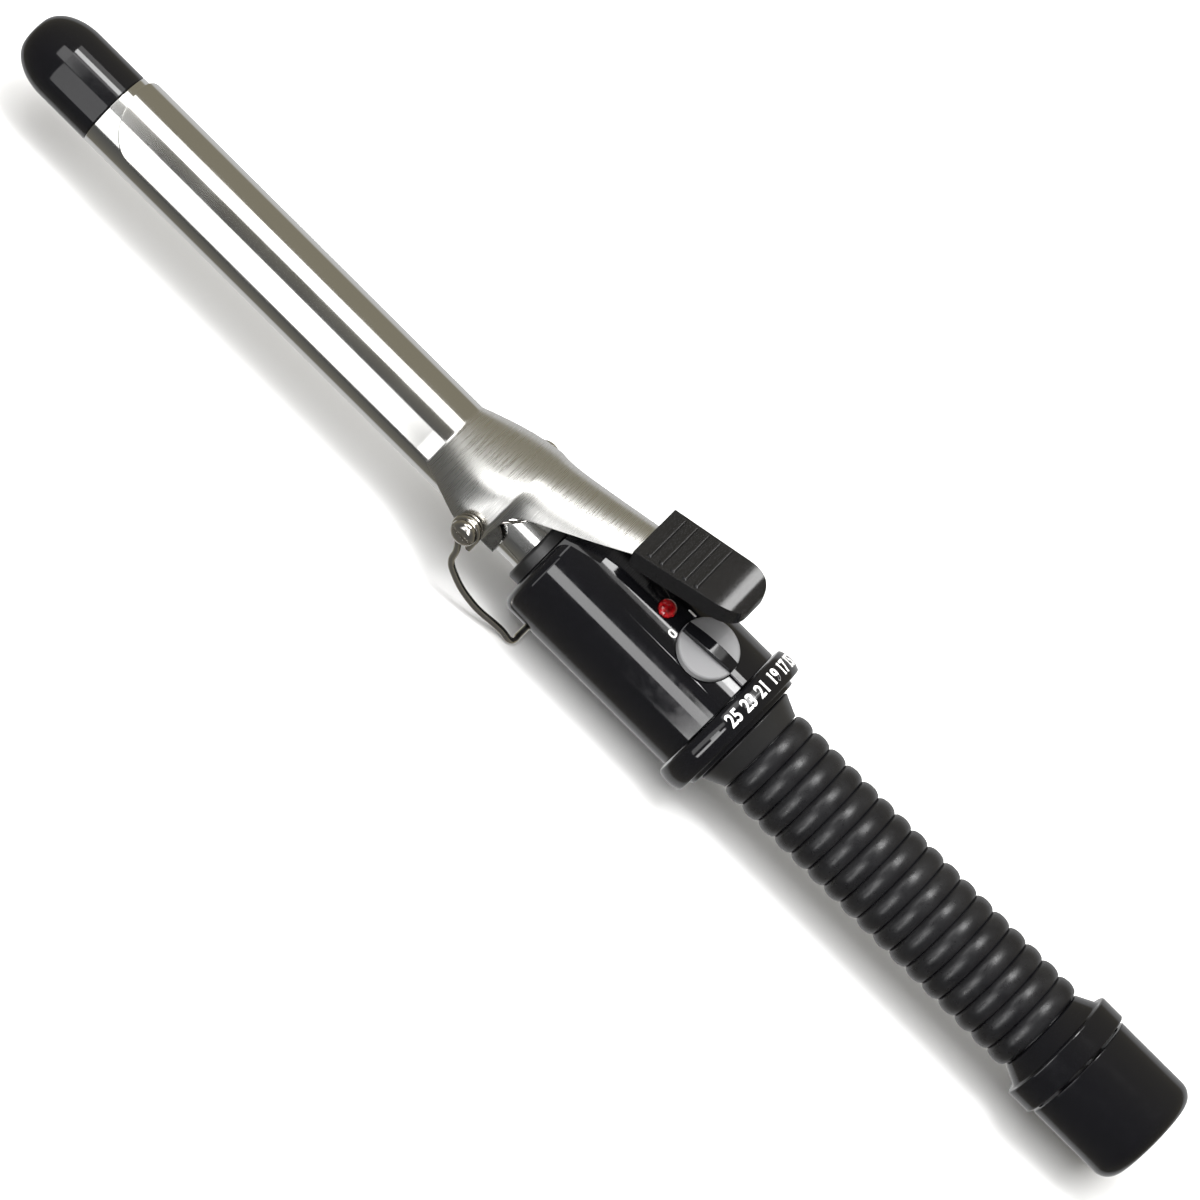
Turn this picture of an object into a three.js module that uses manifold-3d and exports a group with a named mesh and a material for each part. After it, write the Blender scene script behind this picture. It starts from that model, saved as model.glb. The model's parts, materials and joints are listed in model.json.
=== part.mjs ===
// A curling iron: a heated barrel with a sprung clip, a wire stand, a handle with a heat dial and a
// power switch, a ribbed grip, and an end cap that turns on slip rings where the cord comes in.
// Millimetres. The iron lies along X, its tip at -X and its cord end at +X. +Z is the thumb side and
// -Y is the side of the controls. The heat dial and the stand's crossbar stand on Z = 0.
import * as THREE from "three";
import { mergeVertices } from "three/addons/utils/BufferGeometryUtils.js";
import Module from "manifold-3d";

const wasm = await Module();
wasm.setup();

// ---- Driving dimensions ---------------------------------------------------------------------
const GAP = 0.3; // clearance between two pieces that touch
const LONG = 60; // longer than any piece is wide, for cutting tools
const ROUND = 28; // sides of a large round piece
const SMALL_ROUND = 12; // sides of a small round piece

const barrel = { radius: 9.53, wall: 0.7, length: 135.5, socket: 13.5 };
const tip = { length: 24.5, dome: 10.9, nose: 2.6, spigot: 8, wall: 1.6 };
const heater = { length: 62, width: 11, thickness: 3.8, front: 20 };
const spreader = { length: 96, wall: 1.2, front: 10 };
const fuse = { length: 12, radius: 1.7, behind: 4 };
const collar = { length: 3.2, rim: 2.27, edge: 0.9, spigotWall: 1.4 };
const housing = { length: 50.9, radius: 17.08, wall: 1.9, nose: 2.5 };
const relief = { depth: 1.5, length: 8.6, front: 20, rear: 15.6 }; // where the open lever's edges sink
const insulator = { length: 13.8, endWall: 2, leadHole: 5 };
const dial = { length: 6.2, proud: 2.47, crown: 0.75, rim: 1.1, rimRadius: 15.8 };
const core = { seat: 10.9, tube: 9.3, bore: 7.2, neckLength: 5.3, neckFront: 13.3, neckRear: 11.1 };
const bulkhead = { thickness: 4, hole: 6, behind: 3.9 };
const grip = { ribs: 17, pitch: 5.13, crest: 12.15, valley: 10.9 };
const flare = { length: 4.8, front: 10.8, rear: 13.2 };
const flange = { length: 6.3, radius: 14.95, lip: 2, edge: 0.6 };
const cap = { length: 22.9, radius: 13.97, wall: 1.6, corner: 4, split: 0.8 };
const bushing = { bore: 3.3, wall: 1.3, flange: 6.2, flangeThickness: 1.6, length: 9 };
const swivel = { shaft: 4.4, leadBore: 2.2, collar: 2.7, ring: 1.2, ringWidth: 3, ringPitch: 6 };

const pivot = { ahead: 13.2, height: 1.2, bush: 1.8, screw: 1.05, head: 3.3, headThickness: 1.4 };
const bracket = { sheet: 0.8, length: 9.6, stand: 1.1, top: 3, behind: 2.5, turn: 30, bend: 2.2, corner: 3 };
const clip = { sheet: 0.9, wrap: 84, start: 2, noseLength: 11.1, bendAhead: 17.1 };
// The lever rises more than `rise` if a large housing needs it, and narrows to `tail` within `taper`.
const lever = {
  rise: 0.287, clear: 3.3, ear: 3.7, earBehind: 0.2, arch: 2,
  tail: 13, neck: 0.8, taper: 3, tongue: 13,
};
const leverEdge = { rise: 0.5, lead: 2.6, skirt: 2.6 };
const spring = { wire: 0.4, turns: 1.25, pitch: 0.95, bar: 6.2, behind: 10.6, tail: 4.2, room: 2.35 };
const washer = { radius: 3.5, thickness: 0.5 };
const press = { behind: 29.8, length: 28, front: 18.7, rear: 17.5, end: 7.5 };
const pressShell = { top: 1.35, depth: 4.4, wall: 1.4, rearWall: 2.2, lip: 0.8 };
const pressRib = { count: 5, pitch: 3.1, width: 1.5, height: 0.5, first: 2.6, edge: 1.3 };
const stand = { wire: 0.85, knee: 10.6, foot: 12.4, reach: 24.4 };

const controls = { turn: 17.5, fromRear: 11.3, ledAhead: 12.7 };
const knob = { radius: 7.3, top: 0.82, thickness: 2, spindle: 2, turn: 4, floor: 1 };
const knobBar = { width: 2.9, top: 1.4, inset: 0.3 };
const pointerRidge = { length: 5.4, width: 2, height: 0.8, root: 0.6 };
const led = { radius: 2.2, dome: 1.1, flange: 3, flangeThickness: 1.1 };
const board = { width: 24, thickness: 1.6, height: 3, length: 25, ahead: 1.6 };
const switchCase = { ahead: 7, width: 10, below: 3.2, socket: 3.4 };
const triacSize = { from: 3, tab: 5, length: 10, width: 9, side: -10, depth: 4.4, tabThickness: 1.2 };
const capacitorSize = { from: 8, length: 13, width: 6, side: 3.4, depth: 9.5 };

// ---- Stations along the iron, worked out from the lengths -------------------------------------
const gripLength = grip.ribs * grip.pitch;
const barrelFrom = tip.length;
const collarFrom = barrelFrom + barrel.length;
const housingFrom = collarFrom + collar.length + GAP;
const dialFrom = housingFrom + housing.length + GAP;
const rimFrom = dialFrom + dial.length;
const neckFrom = rimFrom + dial.rim + GAP;
const gripFrom = neckFrom + core.neckLength + GAP;
const flareFrom = gripFrom + gripLength + GAP;
const flangeFrom = flareFrom + flare.length;
const capFrom = flangeFrom + flange.length + cap.split;
const length = capFrom + cap.length;
const nose = -length / 2;
const X = {
  nose,
  barrel: nose + barrelFrom,
  collar: nose + collarFrom,
  housing: nose + housingFrom,
  housingEnd: nose + housingFrom + housing.length,
  dial: nose + dialFrom,
  rim: nose + rimFrom,
  neck: nose + neckFrom,
  grip: nose + gripFrom,
  gripEnd: nose + gripFrom + gripLength,
  flare: nose + flareFrom,
  flange: nose + flangeFrom,
  flangeEnd: nose + flangeFrom + flange.length,
  cap: nose + capFrom,
  end: nose + length,
};
const dialRadius = housing.radius + dial.proud;
const hugRadius = barrel.radius + GAP + clip.sheet; // outside of the clip where it hugs the barrel
const housingBore = housing.radius - housing.wall;
const fitBore = housingBore - GAP; // what slides into the housing
const pivotX = X.collar - pivot.ahead;
const bendX = pivotX - clip.bendAhead;
const leverRise = Math.max(lever.rise, (housing.radius + lever.clear - hugRadius) / (X.housing - bendX));
const bulkheadX = X.housingEnd - bulkhead.behind - bulkhead.thickness;

// The pivot's stack, from the barrel outwards.
const bracketIn = barrel.radius + GAP + bracket.stand;
const bracketOut = bracketIn + bracket.sheet;
const earIn = bracketOut + spring.room;
const earOut = earIn + clip.sheet;
const washerIn = earOut + GAP;
const eyeIn = washerIn + washer.thickness + GAP;
const eyeY = eyeIn + stand.wire;
const headIn = eyeY + stand.wire + GAP;

// ---- Helpers -------------------------------------------------------------------------------
function solidOf(geometry) {
  const bare = geometry.clone();
  bare.deleteAttribute("normal");
  bare.deleteAttribute("uv");
  const merged = mergeVertices(bare, 1e-4);
  const corners = merged.index.array;
  const triVerts = [];
  for (let i = 0; i < corners.length; i += 3) {
    const [a, b, c] = [corners[i], corners[i + 1], corners[i + 2]];
    if (a !== b && b !== c && c !== a) triVerts.push(a, b, c);
  }
  return new wasm.Manifold(
    new wasm.Mesh({
      numProp: 3,
      vertProperties: merged.attributes.position.array,
      triVerts: new Uint32Array(triVerts),
    }),
  );
}

function geometryOf(solid) {
  const mesh = solid.getMesh();
  const geometry = new THREE.BufferGeometry();
  geometry.setAttribute("position", new THREE.BufferAttribute(mesh.vertProperties, 3));
  geometry.setIndex(new THREE.BufferAttribute(mesh.triVerts, 1));
  geometry.computeVertexNormals();
  return geometry;
}

const cut = (geometry, ...tools) =>
  geometryOf(tools.reduce((solid, tool) => solid.subtract(solidOf(tool)), solidOf(geometry)));
const join = (geometry, ...others) =>
  geometryOf(others.reduce((solid, other) => solid.add(solidOf(other)), solidOf(geometry)));
const keep = (geometry, ...tools) =>
  geometryOf(tools.reduce((solid, tool) => solid.intersect(solidOf(tool)), solidOf(geometry)));

// A solid of revolution about the X axis from [x, radius] points. A profile that doesn't start and
// end on the axis is a ring, and is closed on itself.
function turned(profile, sides = ROUND) {
  const points = profile.map(([x, radius]) => new THREE.Vector2(radius, x));
  const onAxis = profile[0][1] === 0 && profile.at(-1)[1] === 0;
  if (!onAxis) points.push(points[0].clone());
  return new THREE.LatheGeometry(points, sides).rotateZ(-Math.PI / 2);
}

// The same about the Z axis, from [height, radius] points.
const turnedUp = (profile, sides = SMALL_ROUND) => turned(profile, sides).rotateY(-Math.PI / 2);
// The same about the Y axis, from [y, radius] points.
const turnedAcross = (profile, sides = SMALL_ROUND) => turned(profile, sides).rotateZ(Math.PI / 2);

const tube = (from, to, outer, inner, sides = ROUND) =>
  turned([[from, outer], [to, outer], [to, inner], [from, inner]], sides);
const rod = (from, to, radius, sides = SMALL_ROUND) =>
  turned([[from, 0], [from, radius], [to, radius], [to, 0]], sides);
// The same as rod, but upright along Z or across along Y.
const post = (from, to, radius, sides = SMALL_ROUND) =>
  turnedUp([[from, 0], [from, radius], [to, radius], [to, 0]], sides);
const pin = (from, to, radius, sides = SMALL_ROUND) =>
  turnedAcross([[from, 0], [from, radius], [to, radius], [to, 0]], sides);

// Points of a quarter round from one profile point to another: radii change by sine, x by cosine.
function quarter([x0, r0], [x1, r1], steps, bulge) {
  const points = [];
  for (let i = 0; i <= steps; i++) {
    const turn = (i / steps) * (Math.PI / 2);
    const [late, early] = [1 - Math.cos(turn), Math.sin(turn)];
    const [along, across] = bulge === "first" ? [late, early] : [early, late];
    points.push([x0 + (x1 - x0) * along, r0 + (r1 - r0) * across]);
  }
  return points;
}

// An outline in the X-Z plane made into a prism along Y, centred on Y = 0.
const acrossY = (shape, width, curveSegments = 6) =>
  new THREE.ExtrudeGeometry(shape, { depth: width, bevelEnabled: false, curveSegments })
    .rotateX(Math.PI / 2)
    .translate(0, width / 2, 0);

// An outline in the Y-Z plane made into a prism along X, from x.
function alongX(shape, x, depth, curveSegments = 8) {
  const turn = new THREE.Matrix4().makeBasis(
    new THREE.Vector3(0, 1, 0),
    new THREE.Vector3(0, 0, 1),
    new THREE.Vector3(1, 0, 0),
  );
  return new THREE.ExtrudeGeometry(shape, { depth, bevelEnabled: false, curveSegments })
    .applyMatrix4(turn)
    .translate(x, 0, 0);
}

// A box from its lowest to its highest corner.
const block = ([x0, y0, z0], [x1, y1, z1]) =>
  new THREE.BoxGeometry(x1 - x0, y1 - y0, z1 - z0).translate((x0 + x1) / 2, (y0 + y1) / 2, (z0 + z1) / 2);

// A round wire through points.
function wire(points, radius, steps, sides = 8, tension = 0.5) {
  const path = new THREE.CatmullRomCurve3(
    points.map((p) => new THREE.Vector3(...p)),
    false,
    "catmullrom",
    tension,
  );
  const section = new THREE.Shape();
  for (let i = 0; i < sides; i++) {
    const turn = (2 * Math.PI * i) / sides;
    const [a, b] = [radius * Math.cos(turn), radius * Math.sin(turn)];
    if (i === 0) section.moveTo(a, b);
    else section.lineTo(a, b);
  }
  section.closePath();
  return new THREE.ExtrudeGeometry(section, { steps, extrudePath: path, bevelEnabled: false });
}

const finishes = {
  chrome: { color: 0xc9c9c6, roughness: 0.12, metalness: 1 },
  brushed: { color: 0xb8b7b2, roughness: 0.3, metalness: 1 },
  nickel: { color: 0xb3aea3, roughness: 0.22, metalness: 1 },
  gloss: { color: 0x0b0b0d, roughness: 0.12, metalness: 0 },
  satin: { color: 0x232326, roughness: 0.45, metalness: 0 },
  rubber: { color: 0x141415, roughness: 0.55, metalness: 0 },
  grey: { color: 0x76777a, roughness: 0.4, metalness: 0 },
  red: { color: 0xa30a12, roughness: 0.15, metalness: 0 },
  board: { color: 0x2f5a36, roughness: 0.6, metalness: 0 },
  ceramic: { color: 0xe8e4da, roughness: 0.7, metalness: 0 },
  aluminium: { color: 0xa9abad, roughness: 0.4, metalness: 1 },
  copper: { color: 0xb4692f, roughness: 0.3, metalness: 1 },
  insulation: { color: 0xd8d4c8, roughness: 0.8, metalness: 0 },
};
const materials = Object.fromEntries(
  Object.entries(finishes).map(([name, values]) => [name, new THREE.MeshStandardMaterial(values)]),
);

function piece(parent, name, geometry, finish) {
  const mesh = new THREE.Mesh(geometry, materials[finish]);
  mesh.name = name;
  parent.add(mesh);
  return mesh;
}

// ---- Barrel and what is in it ----------------------------------------------------------------
const rivet = { shank: 1, head: 2, headHeight: 0.8, ahead: 1.2, behind: 4.2, grip: 0.6 };
const rivetX = [pivotX - rivet.ahead, pivotX + rivet.behind];

function barrelTube() {
  const end = X.housing + barrel.socket;
  const shell = tube(X.barrel + GAP, end, barrel.radius, barrel.radius - barrel.wall);
  const holes = rivetX.map((x) => post(-barrel.radius - 1, 0, rivet.shank + GAP).translate(x, 0, 0));
  return cut(shell, ...holes);
}

function coolTip() {
  const bore = barrel.radius - barrel.wall - GAP - tip.wall;
  const dome = quarter([X.nose, tip.nose], [X.nose + tip.dome, barrel.radius], 6, "first");
  return turned([
    [X.nose, 0],
    ...dome,
    [X.barrel, barrel.radius],
    [X.barrel, barrel.radius - barrel.wall - GAP],
    [X.barrel + tip.spigot, barrel.radius - barrel.wall - GAP],
    [X.barrel + tip.spigot, bore],
    [X.nose + tip.dome, bore],
    [X.nose + tip.dome, 0],
  ]);
}

// Each spreader half is a hollow D that presses the heater plate's heat out to the barrel wall.
function spreaderHalf() {
  const radius = barrel.radius - barrel.wall - GAP;
  const flat = heater.thickness / 2 + GAP;
  const dee = (r, z) => {
    const from = Math.asin(z / r);
    return { from, to: Math.PI - from, r };
  };
  const outer = dee(radius, flat);
  const inner = dee(radius - spreader.wall, flat + spreader.wall);
  const shape = new THREE.Shape();
  shape.absarc(0, 0, outer.r, outer.from, outer.to);
  shape.closePath();
  const hollow = new THREE.Path();
  hollow.absarc(0, 0, inner.r, inner.from, inner.to);
  hollow.closePath();
  shape.holes.push(hollow);
  return alongX(shape, X.barrel + spreader.front, spreader.length, 12);
}

function heaterPlate() {
  const from = X.barrel + heater.front;
  return block(
    [from, -heater.width / 2, -heater.thickness / 2],
    [from + heater.length, heater.width / 2, heater.thickness / 2],
  );
}

// ---- Pivot bracket, riveted under the barrel, with an ear up each side ------------------------
function pivotBracket() {
  const inner = barrel.radius + GAP;
  const outer = inner + bracket.sheet;
  const turn = THREE.MathUtils.degToRad(bracket.turn);
  const from = pivotX - bracket.length / 2 + bracket.behind;
  const low = -inner * Math.sin(turn) + bracket.bend;
  const strap = new THREE.Shape();
  strap.absarc(0, 0, outer, -Math.PI + turn, -turn);
  strap.lineTo(bracketOut, low - bracket.sheet / 2);
  strap.lineTo(bracketOut, bracket.top + LONG);
  strap.lineTo(bracketIn, bracket.top + LONG);
  strap.lineTo(bracketIn, low);
  strap.absarc(0, 0, inner, -turn, -Math.PI + turn, true);
  strap.lineTo(-bracketIn, low);
  strap.lineTo(-bracketIn, bracket.top + LONG);
  strap.lineTo(-bracketOut, bracket.top + LONG);
  strap.lineTo(-bracketOut, low - bracket.sheet / 2);
  strap.closePath();

  const top = pivot.height + bracket.top;
  const { corner } = bracket;
  const to = from + bracket.length;
  const side = new THREE.Shape();
  side.moveTo(from, -LONG);
  side.lineTo(to, -LONG);
  side.lineTo(to, -2);
  side.quadraticCurveTo(to, top, pivotX + 1, top);
  side.lineTo(from + corner, top);
  side.absarc(from + corner, top - corner, corner, Math.PI / 2, Math.PI);
  side.closePath();

  const screwHole = pin(-LONG, LONG, pivot.screw + GAP).translate(pivotX, 0, pivot.height);
  const rivetHoles = rivetX.map((x) => post(-LONG, 0, rivet.shank + GAP).translate(x, 0, 0));
  return cut(keep(alongX(strap, from, bracket.length, 12), acrossY(side, LONG)), screwHole, ...rivetHoles);
}

function bracketRivet() {
  const seat = -(barrel.radius + GAP + bracket.sheet + GAP);
  return turnedUp([
    [seat - rivet.headHeight, 0],
    [seat - rivet.headHeight, rivet.head * 0.6],
    [seat - rivet.headHeight / 2, rivet.head],
    [seat, rivet.head],
    [seat, rivet.shank],
    [-barrel.radius + barrel.wall + rivet.grip, rivet.shank],
    [-barrel.radius + barrel.wall + rivet.grip, 0],
  ], 12);
}

// The pieces on the pivot are made for the +Y side and mirrored by turning them half round Z.
function pivotScrew() {
  const out = headIn + pivot.headThickness;
  const slot = block([-LONG, out - 0.6, -0.45], [LONG, out + 1, 0.45]);
  const body = turnedAcross([
    [bracketIn - 0.6, 0],
    [bracketIn - 0.6, pivot.screw],
    [headIn, pivot.screw],
    [headIn, pivot.head],
    [headIn + pivot.headThickness * 0.55, pivot.head],
    [out, pivot.head * 0.62],
    [out, 0],
  ]);
  return cut(body, slot);
}
const pivotBush = () => {
  const bore = pivot.screw + GAP;
  const [from, to] = [bracketOut + GAP, headIn - GAP / 2];
  return turnedAcross([[from, pivot.bush], [to, pivot.bush], [to, bore], [from, bore]]);
};
const pivotWasher = () => {
  const bore = pivot.bush + GAP;
  const to = washerIn + washer.thickness;
  return turnedAcross([[washerIn, washer.radius], [to, washer.radius], [to, bore], [washerIn, bore]]);
};

// ---- Clip: one sheet, hugging the barrel and then rising as the lever -------------------------
const leverTop = (x) => hugRadius + leverRise * (x - bendX);
const pressX = pivotX + press.behind;
const edgeAtPress = leverTop(pressX) - leverEdge.skirt;

// The section at x is half an ellipse on two upright sides: [half width, spring line, top].
function clipSection(x) {
  if (x <= bendX) return [hugRadius, 0, hugRadius];
  const opening = Math.min(1, (x - bendX) / clip.bendAhead);
  const past = Math.max(0, x - pivotX - lever.ear + lever.neck);
  const width =
    x < pivotX
      ? hugRadius + (earOut - hugRadius) * Math.sin((opening * Math.PI) / 2)
      : lever.tail + (earOut - lever.tail) * Math.exp(-past / lever.taper);
  return [width, lever.arch * opening, leverTop(x)];
}

function clipSheet() {
  const tongueEnd = pressX + lever.tongue;
  const stations = [X.barrel + clip.start, (X.barrel + bendX) / 2, bendX];
  for (const share of [0.12, 0.25, 0.4, 0.55, 0.7, 0.85, 1]) stations.push(bendX + share * clip.bendAhead);
  for (const behind of [lever.ear - lever.neck, 4.5, 6, 8]) stations.push(pivotX + behind);
  for (const share of [1 / 3, 2 / 3, 1]) stations.push(pivotX + 8 + share * (pressX - pivotX - 8));
  stations.push(tongueEnd);

  const arcs = 16;
  const bottom = -lever.ear - 3;
  const outlineAt = (x, inset) => {
    const [width, spring, top] = clipSection(x);
    const points = [[x, -(width - inset), bottom]];
    for (let i = 0; i <= arcs; i++) {
      const turn = Math.PI * (i / arcs);
      points.push([x, -(width - inset) * Math.cos(turn), spring + (top - inset - spring) * Math.sin(turn)]);
    }
    points.push([x, width - inset, bottom]);
    return points;
  };
  // Rings of vertices: the outside from one edge to the other, then the inside back again.
  const rings = stations.map((x) => [...outlineAt(x, 0), ...outlineAt(x, clip.sheet).reverse()]);
  const around = rings[0].length;
  const half = around / 2;
  const position = rings.flat(2);
  const index = [];
  const vertex = (ring, i) => ring * around + (i % around);
  for (let ring = 0; ring < rings.length - 1; ring++)
    for (let i = 0; i < around; i++) {
      const [a, b] = [vertex(ring, i), vertex(ring, i + 1)];
      const [c, d] = [vertex(ring + 1, i), vertex(ring + 1, i + 1)];
      index.push(a, c, b, b, c, d);
    }
  for (let i = 0; i < half - 1; i++) {
    const last = rings.length - 1;
    const [a, b] = [i, i + 1];
    const [c, d] = [around - 1 - i, around - 2 - i];
    for (const corner of [a, b, c, b, d, c]) index.push(vertex(0, corner));
    for (const corner of [a, c, b, b, c, d]) index.push(vertex(last, corner));
  }
  const geometry = new THREE.BufferGeometry();
  geometry.setAttribute("position", new THREE.Float32BufferAttribute(position, 3));
  geometry.setIndex(index);
  return geometry;
}

// The clip seen from the side: a rounded front end, a straight edge along the barrel, an ear round
// the pivot, and an edge that rises to the thumb press.
function clipSide() {
  const front = X.barrel + clip.start;
  const wrap = THREE.MathUtils.degToRad(clip.wrap);
  const edge = hugRadius * Math.cos(wrap);
  const side = new THREE.Shape();
  side.moveTo(front - 1, LONG);
  side.lineTo(front - 1, hugRadius + 1);
  side.lineTo(front, hugRadius + 1);
  for (let i = 1; i <= 8; i++) {
    const turn = (Math.PI / 2) * (i / 8);
    side.lineTo(front + clip.noseLength * (1 - Math.cos(turn)), hugRadius * Math.cos(wrap * Math.sin(turn)));
  }
  side.lineTo(bendX, edge);
  const ear = { x: pivotX + lever.earBehind, z: pivot.height };
  side.quadraticCurveTo(bendX + 6, edge - 0.2, ear.x - lever.ear * 0.9, ear.z - lever.ear * 0.75);
  side.absarc(ear.x, ear.z, lever.ear, -Math.PI * 0.72, 0.15);
  const edgeLine = (x) => edgeAtPress - leverEdge.rise * (pressX - x);
  const earBack = ear.x + lever.ear;
  const edgeFrom = earBack + leverEdge.lead;
  side.quadraticCurveTo(earBack, edgeLine(earBack), edgeFrom, edgeLine(edgeFrom));
  side.lineTo(pressX, edgeAtPress);
  side.lineTo(pressX + lever.tongue, leverTop(pressX + lever.tongue) - 2);
  side.lineTo(pressX + lever.tongue, LONG);
  side.closePath();
  return acrossY(side, LONG, 8);
}

// ---- Thumb press, in the lever's slope: x' back along the slope, z' off it ----------------------
const leverSlope = Math.atan(leverRise);
const stakeX = press.length * 0.36;
const stake = { radius: 1.4, washer: 2.8, washerThickness: 0.6, beyond: 0.4 };
// How far the tongue's arch falls away under the washer.
const [archWidth, archSpring, archTop] = clipSection(pressX);
const archDrop = (archTop - archSpring) * (1 - Math.sqrt(1 - (stake.washer / (archWidth - clip.sheet)) ** 2));
const washerTop = -(clip.sheet + archDrop + GAP);

function thumbPress() {
  const plan = new THREE.Shape();
  const [front, rear] = [press.front / 2, press.rear / 2];
  const corner = press.end;
  plan.moveTo(0, -front);
  plan.lineTo(press.length - corner, -rear);
  plan.quadraticCurveTo(press.length, -rear, press.length, -rear + corner);
  plan.lineTo(press.length, rear - corner);
  plan.quadraticCurveTo(press.length, rear, press.length - corner, rear);
  plan.lineTo(0, front);
  plan.closePath();
  const planPrism = new THREE.ExtrudeGeometry(plan, { depth: LONG, bevelEnabled: false, curveSegments: 6 })
    .translate(0, 0, -LONG / 2);

  const low = pressShell.top - pressShell.depth;
  const sideShape = (inset) => {
    const side = new THREE.Shape();
    const [top, end] = [pressShell.top - inset, press.length - inset];
    side.moveTo(0, low);
    side.lineTo(end - pressShell.lip, low);
    side.quadraticCurveTo(end, low + pressShell.lip / 2, end, low + 2 * pressShell.lip);
    side.quadraticCurveTo(end - 0.3, top - 0.2, end - corner, top);
    side.lineTo(0, top);
    side.closePath();
    return side;
  };
  const body = keep(acrossY(sideShape(0), LONG), planPrism);
  const inside = press.rear / 2 - pressShell.wall;
  const { rearWall } = pressShell;
  const hollow = keep(
    block([-1, -inside, -LONG / 2], [press.length - rearWall, inside, GAP]),
    planPrism.clone().translate(-rearWall, 0, 0),
  );
  const mouth = block([-1, -inside, -LONG / 2], [pressShell.wall + 1, inside, GAP]);
  const ribs = [];
  for (let i = 0; i < pressRib.count; i++) {
    const x = pressRib.first + i * pressRib.pitch;
    const wide = press.front / 2 - pressRib.edge;
    const ribTop = pressShell.top + pressRib.height;
    ribs.push(block([x, -wide, pressShell.top - 0.3], [x + pressRib.width, wide, ribTop]));
  }
  const stakeFoot = washerTop - stake.washerThickness - stake.beyond;
  const stakePost = post(stakeFoot, pressShell.top - 0.2, stake.radius).translate(stakeX, 0, 0);
  return join(cut(body, hollow, mouth), ...ribs, stakePost);
}

const stakeWasher = () => {
  const bore = stake.radius + GAP / 2;
  const low = washerTop - stake.washerThickness;
  return turnedUp([[low, stake.washer], [washerTop, stake.washer], [washerTop, bore], [low, bore]])
    .translate(stakeX, 0, 0);
};

// ---- Clip spring: a wire with a coil round each pivot bush and a bar under the lever -----------
function underLever(x, y) {
  const [width, springLine, top] = clipSection(x);
  const inner = { width: width - clip.sheet, height: top - clip.sheet - springLine };
  return springLine + inner.height * Math.sqrt(1 - (y / inner.width) ** 2);
}

function clipSpring() {
  const coil = pivot.bush + GAP + spring.wire;
  const near = bracketOut + GAP / 2 + spring.wire; // where the coil ends, next to the bracket
  const far = near + spring.pitch * spring.turns;
  const half = [spring.tail, spring.tail / 2].map((below) => [pivotX - coil, far, pivot.height - below]);
  const steps = Math.round(spring.turns * 10);
  for (let i = 0; i <= steps; i++) {
    const turn = Math.PI - 2 * Math.PI * spring.turns * (i / steps);
    half.push([
      pivotX + coil * Math.cos(turn),
      far + (near - far) * (i / steps),
      pivot.height + coil * Math.sin(turn),
    ]);
  }
  const barX = pivotX + spring.behind;
  const barZ = underLever(barX, spring.bar + 2 * spring.wire) - spring.wire - GAP;
  half.push([pivotX + 2.6, near - 0.1, pivot.height + coil]);
  half.push([pivotX + 4.6, near - 0.4, pivot.height + coil + 2.4]);
  half.push([pivotX + 7.6, (bracketOut + spring.bar) / 2 + 0.6, (barZ + pivot.height) / 2 + 0.7]);
  half.push([barX - 0.9, spring.bar + 1.2, barZ - 1.4]);
  half.push([barX, spring.bar - 0.4, barZ]);
  half.push([barX, spring.bar - 2, barZ]);
  const mirrored = half.map(([x, y, z]) => [x, -y, z]).reverse();
  return wire([...half, ...mirrored], spring.wire, 84, 5);
}

// ---- Stand: a wire bail with an eye round each pivot bush ---------------------------------------
function standWire() {
  const eye = pivot.bush + GAP + stand.wire;
  const at = (x, y, z) => [pivotX + x, y, z];
  const half = [at(eye + 0.1, eyeY, pivot.height - 3.6), at(eye + 0.1, eyeY, pivot.height - 1.6)];
  for (let i = 0; i <= 10; i++) {
    const turn = (i / 10) * Math.PI * 1.25;
    half.push(at(eye * Math.cos(turn), eyeY, pivot.height + eye * Math.sin(turn)));
  }
  const floor = -(dialRadius - stand.wire);
  half.push(at(0.2, eyeY, pivot.height - eye - 1.3));
  half.push(at(1.4, eyeY, -stand.knee * 0.5));
  half.push(at(2.3, eyeY, -stand.knee + 1.6));
  half.push(at(4.3, eyeY - 0.2, -stand.knee - 0.6));
  half.push(at(stand.reach * 0.5, (eyeY + stand.foot) / 2 + 0.6, (floor - stand.knee) / 2 - 1));
  half.push(at(stand.reach - 3.4, stand.foot + 0.7, floor + 1.3));
  half.push(at(stand.reach - 0.6, stand.foot, floor + 0.3));
  half.push(at(stand.reach, stand.foot - 1.2, floor));
  half.push(at(stand.reach, stand.foot - 3, floor));
  const mirrored = half.map(([x, y, z]) => [x, -y, z]).reverse();
  return wire([...half, ...mirrored], stand.wire, 72, 7);
}

// ---- Collar, insulator and housing ---------------------------------------------------------------
const collarRadius = barrel.radius + collar.rim;
const collarBore = barrel.radius + GAP;
const spigotRadius = collarBore + collar.spigotWall;

const frontCollar = () =>
  turned([
    [X.collar, collarBore],
    [X.collar, collarRadius - collar.edge],
    [X.collar + collar.edge * 0.3, collarRadius - collar.edge * 0.3],
    [X.collar + collar.edge, collarRadius],
    [X.collar + collar.length, collarRadius],
    [X.collar + collar.length, spigotRadius],
    [X.housing + housing.wall, spigotRadius],
    [X.housing + housing.wall, collarBore],
  ]);

function barrelInsulator() {
  const from = X.housing + housing.wall + GAP;
  const to = from + insulator.length;
  return turned([
    [from, fitBore],
    [to, fitBore],
    [to, insulator.leadHole],
    [to - insulator.endWall, insulator.leadHole],
    [to - insulator.endWall, collarBore],
    [from, collarBore],
  ]);
}

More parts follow.
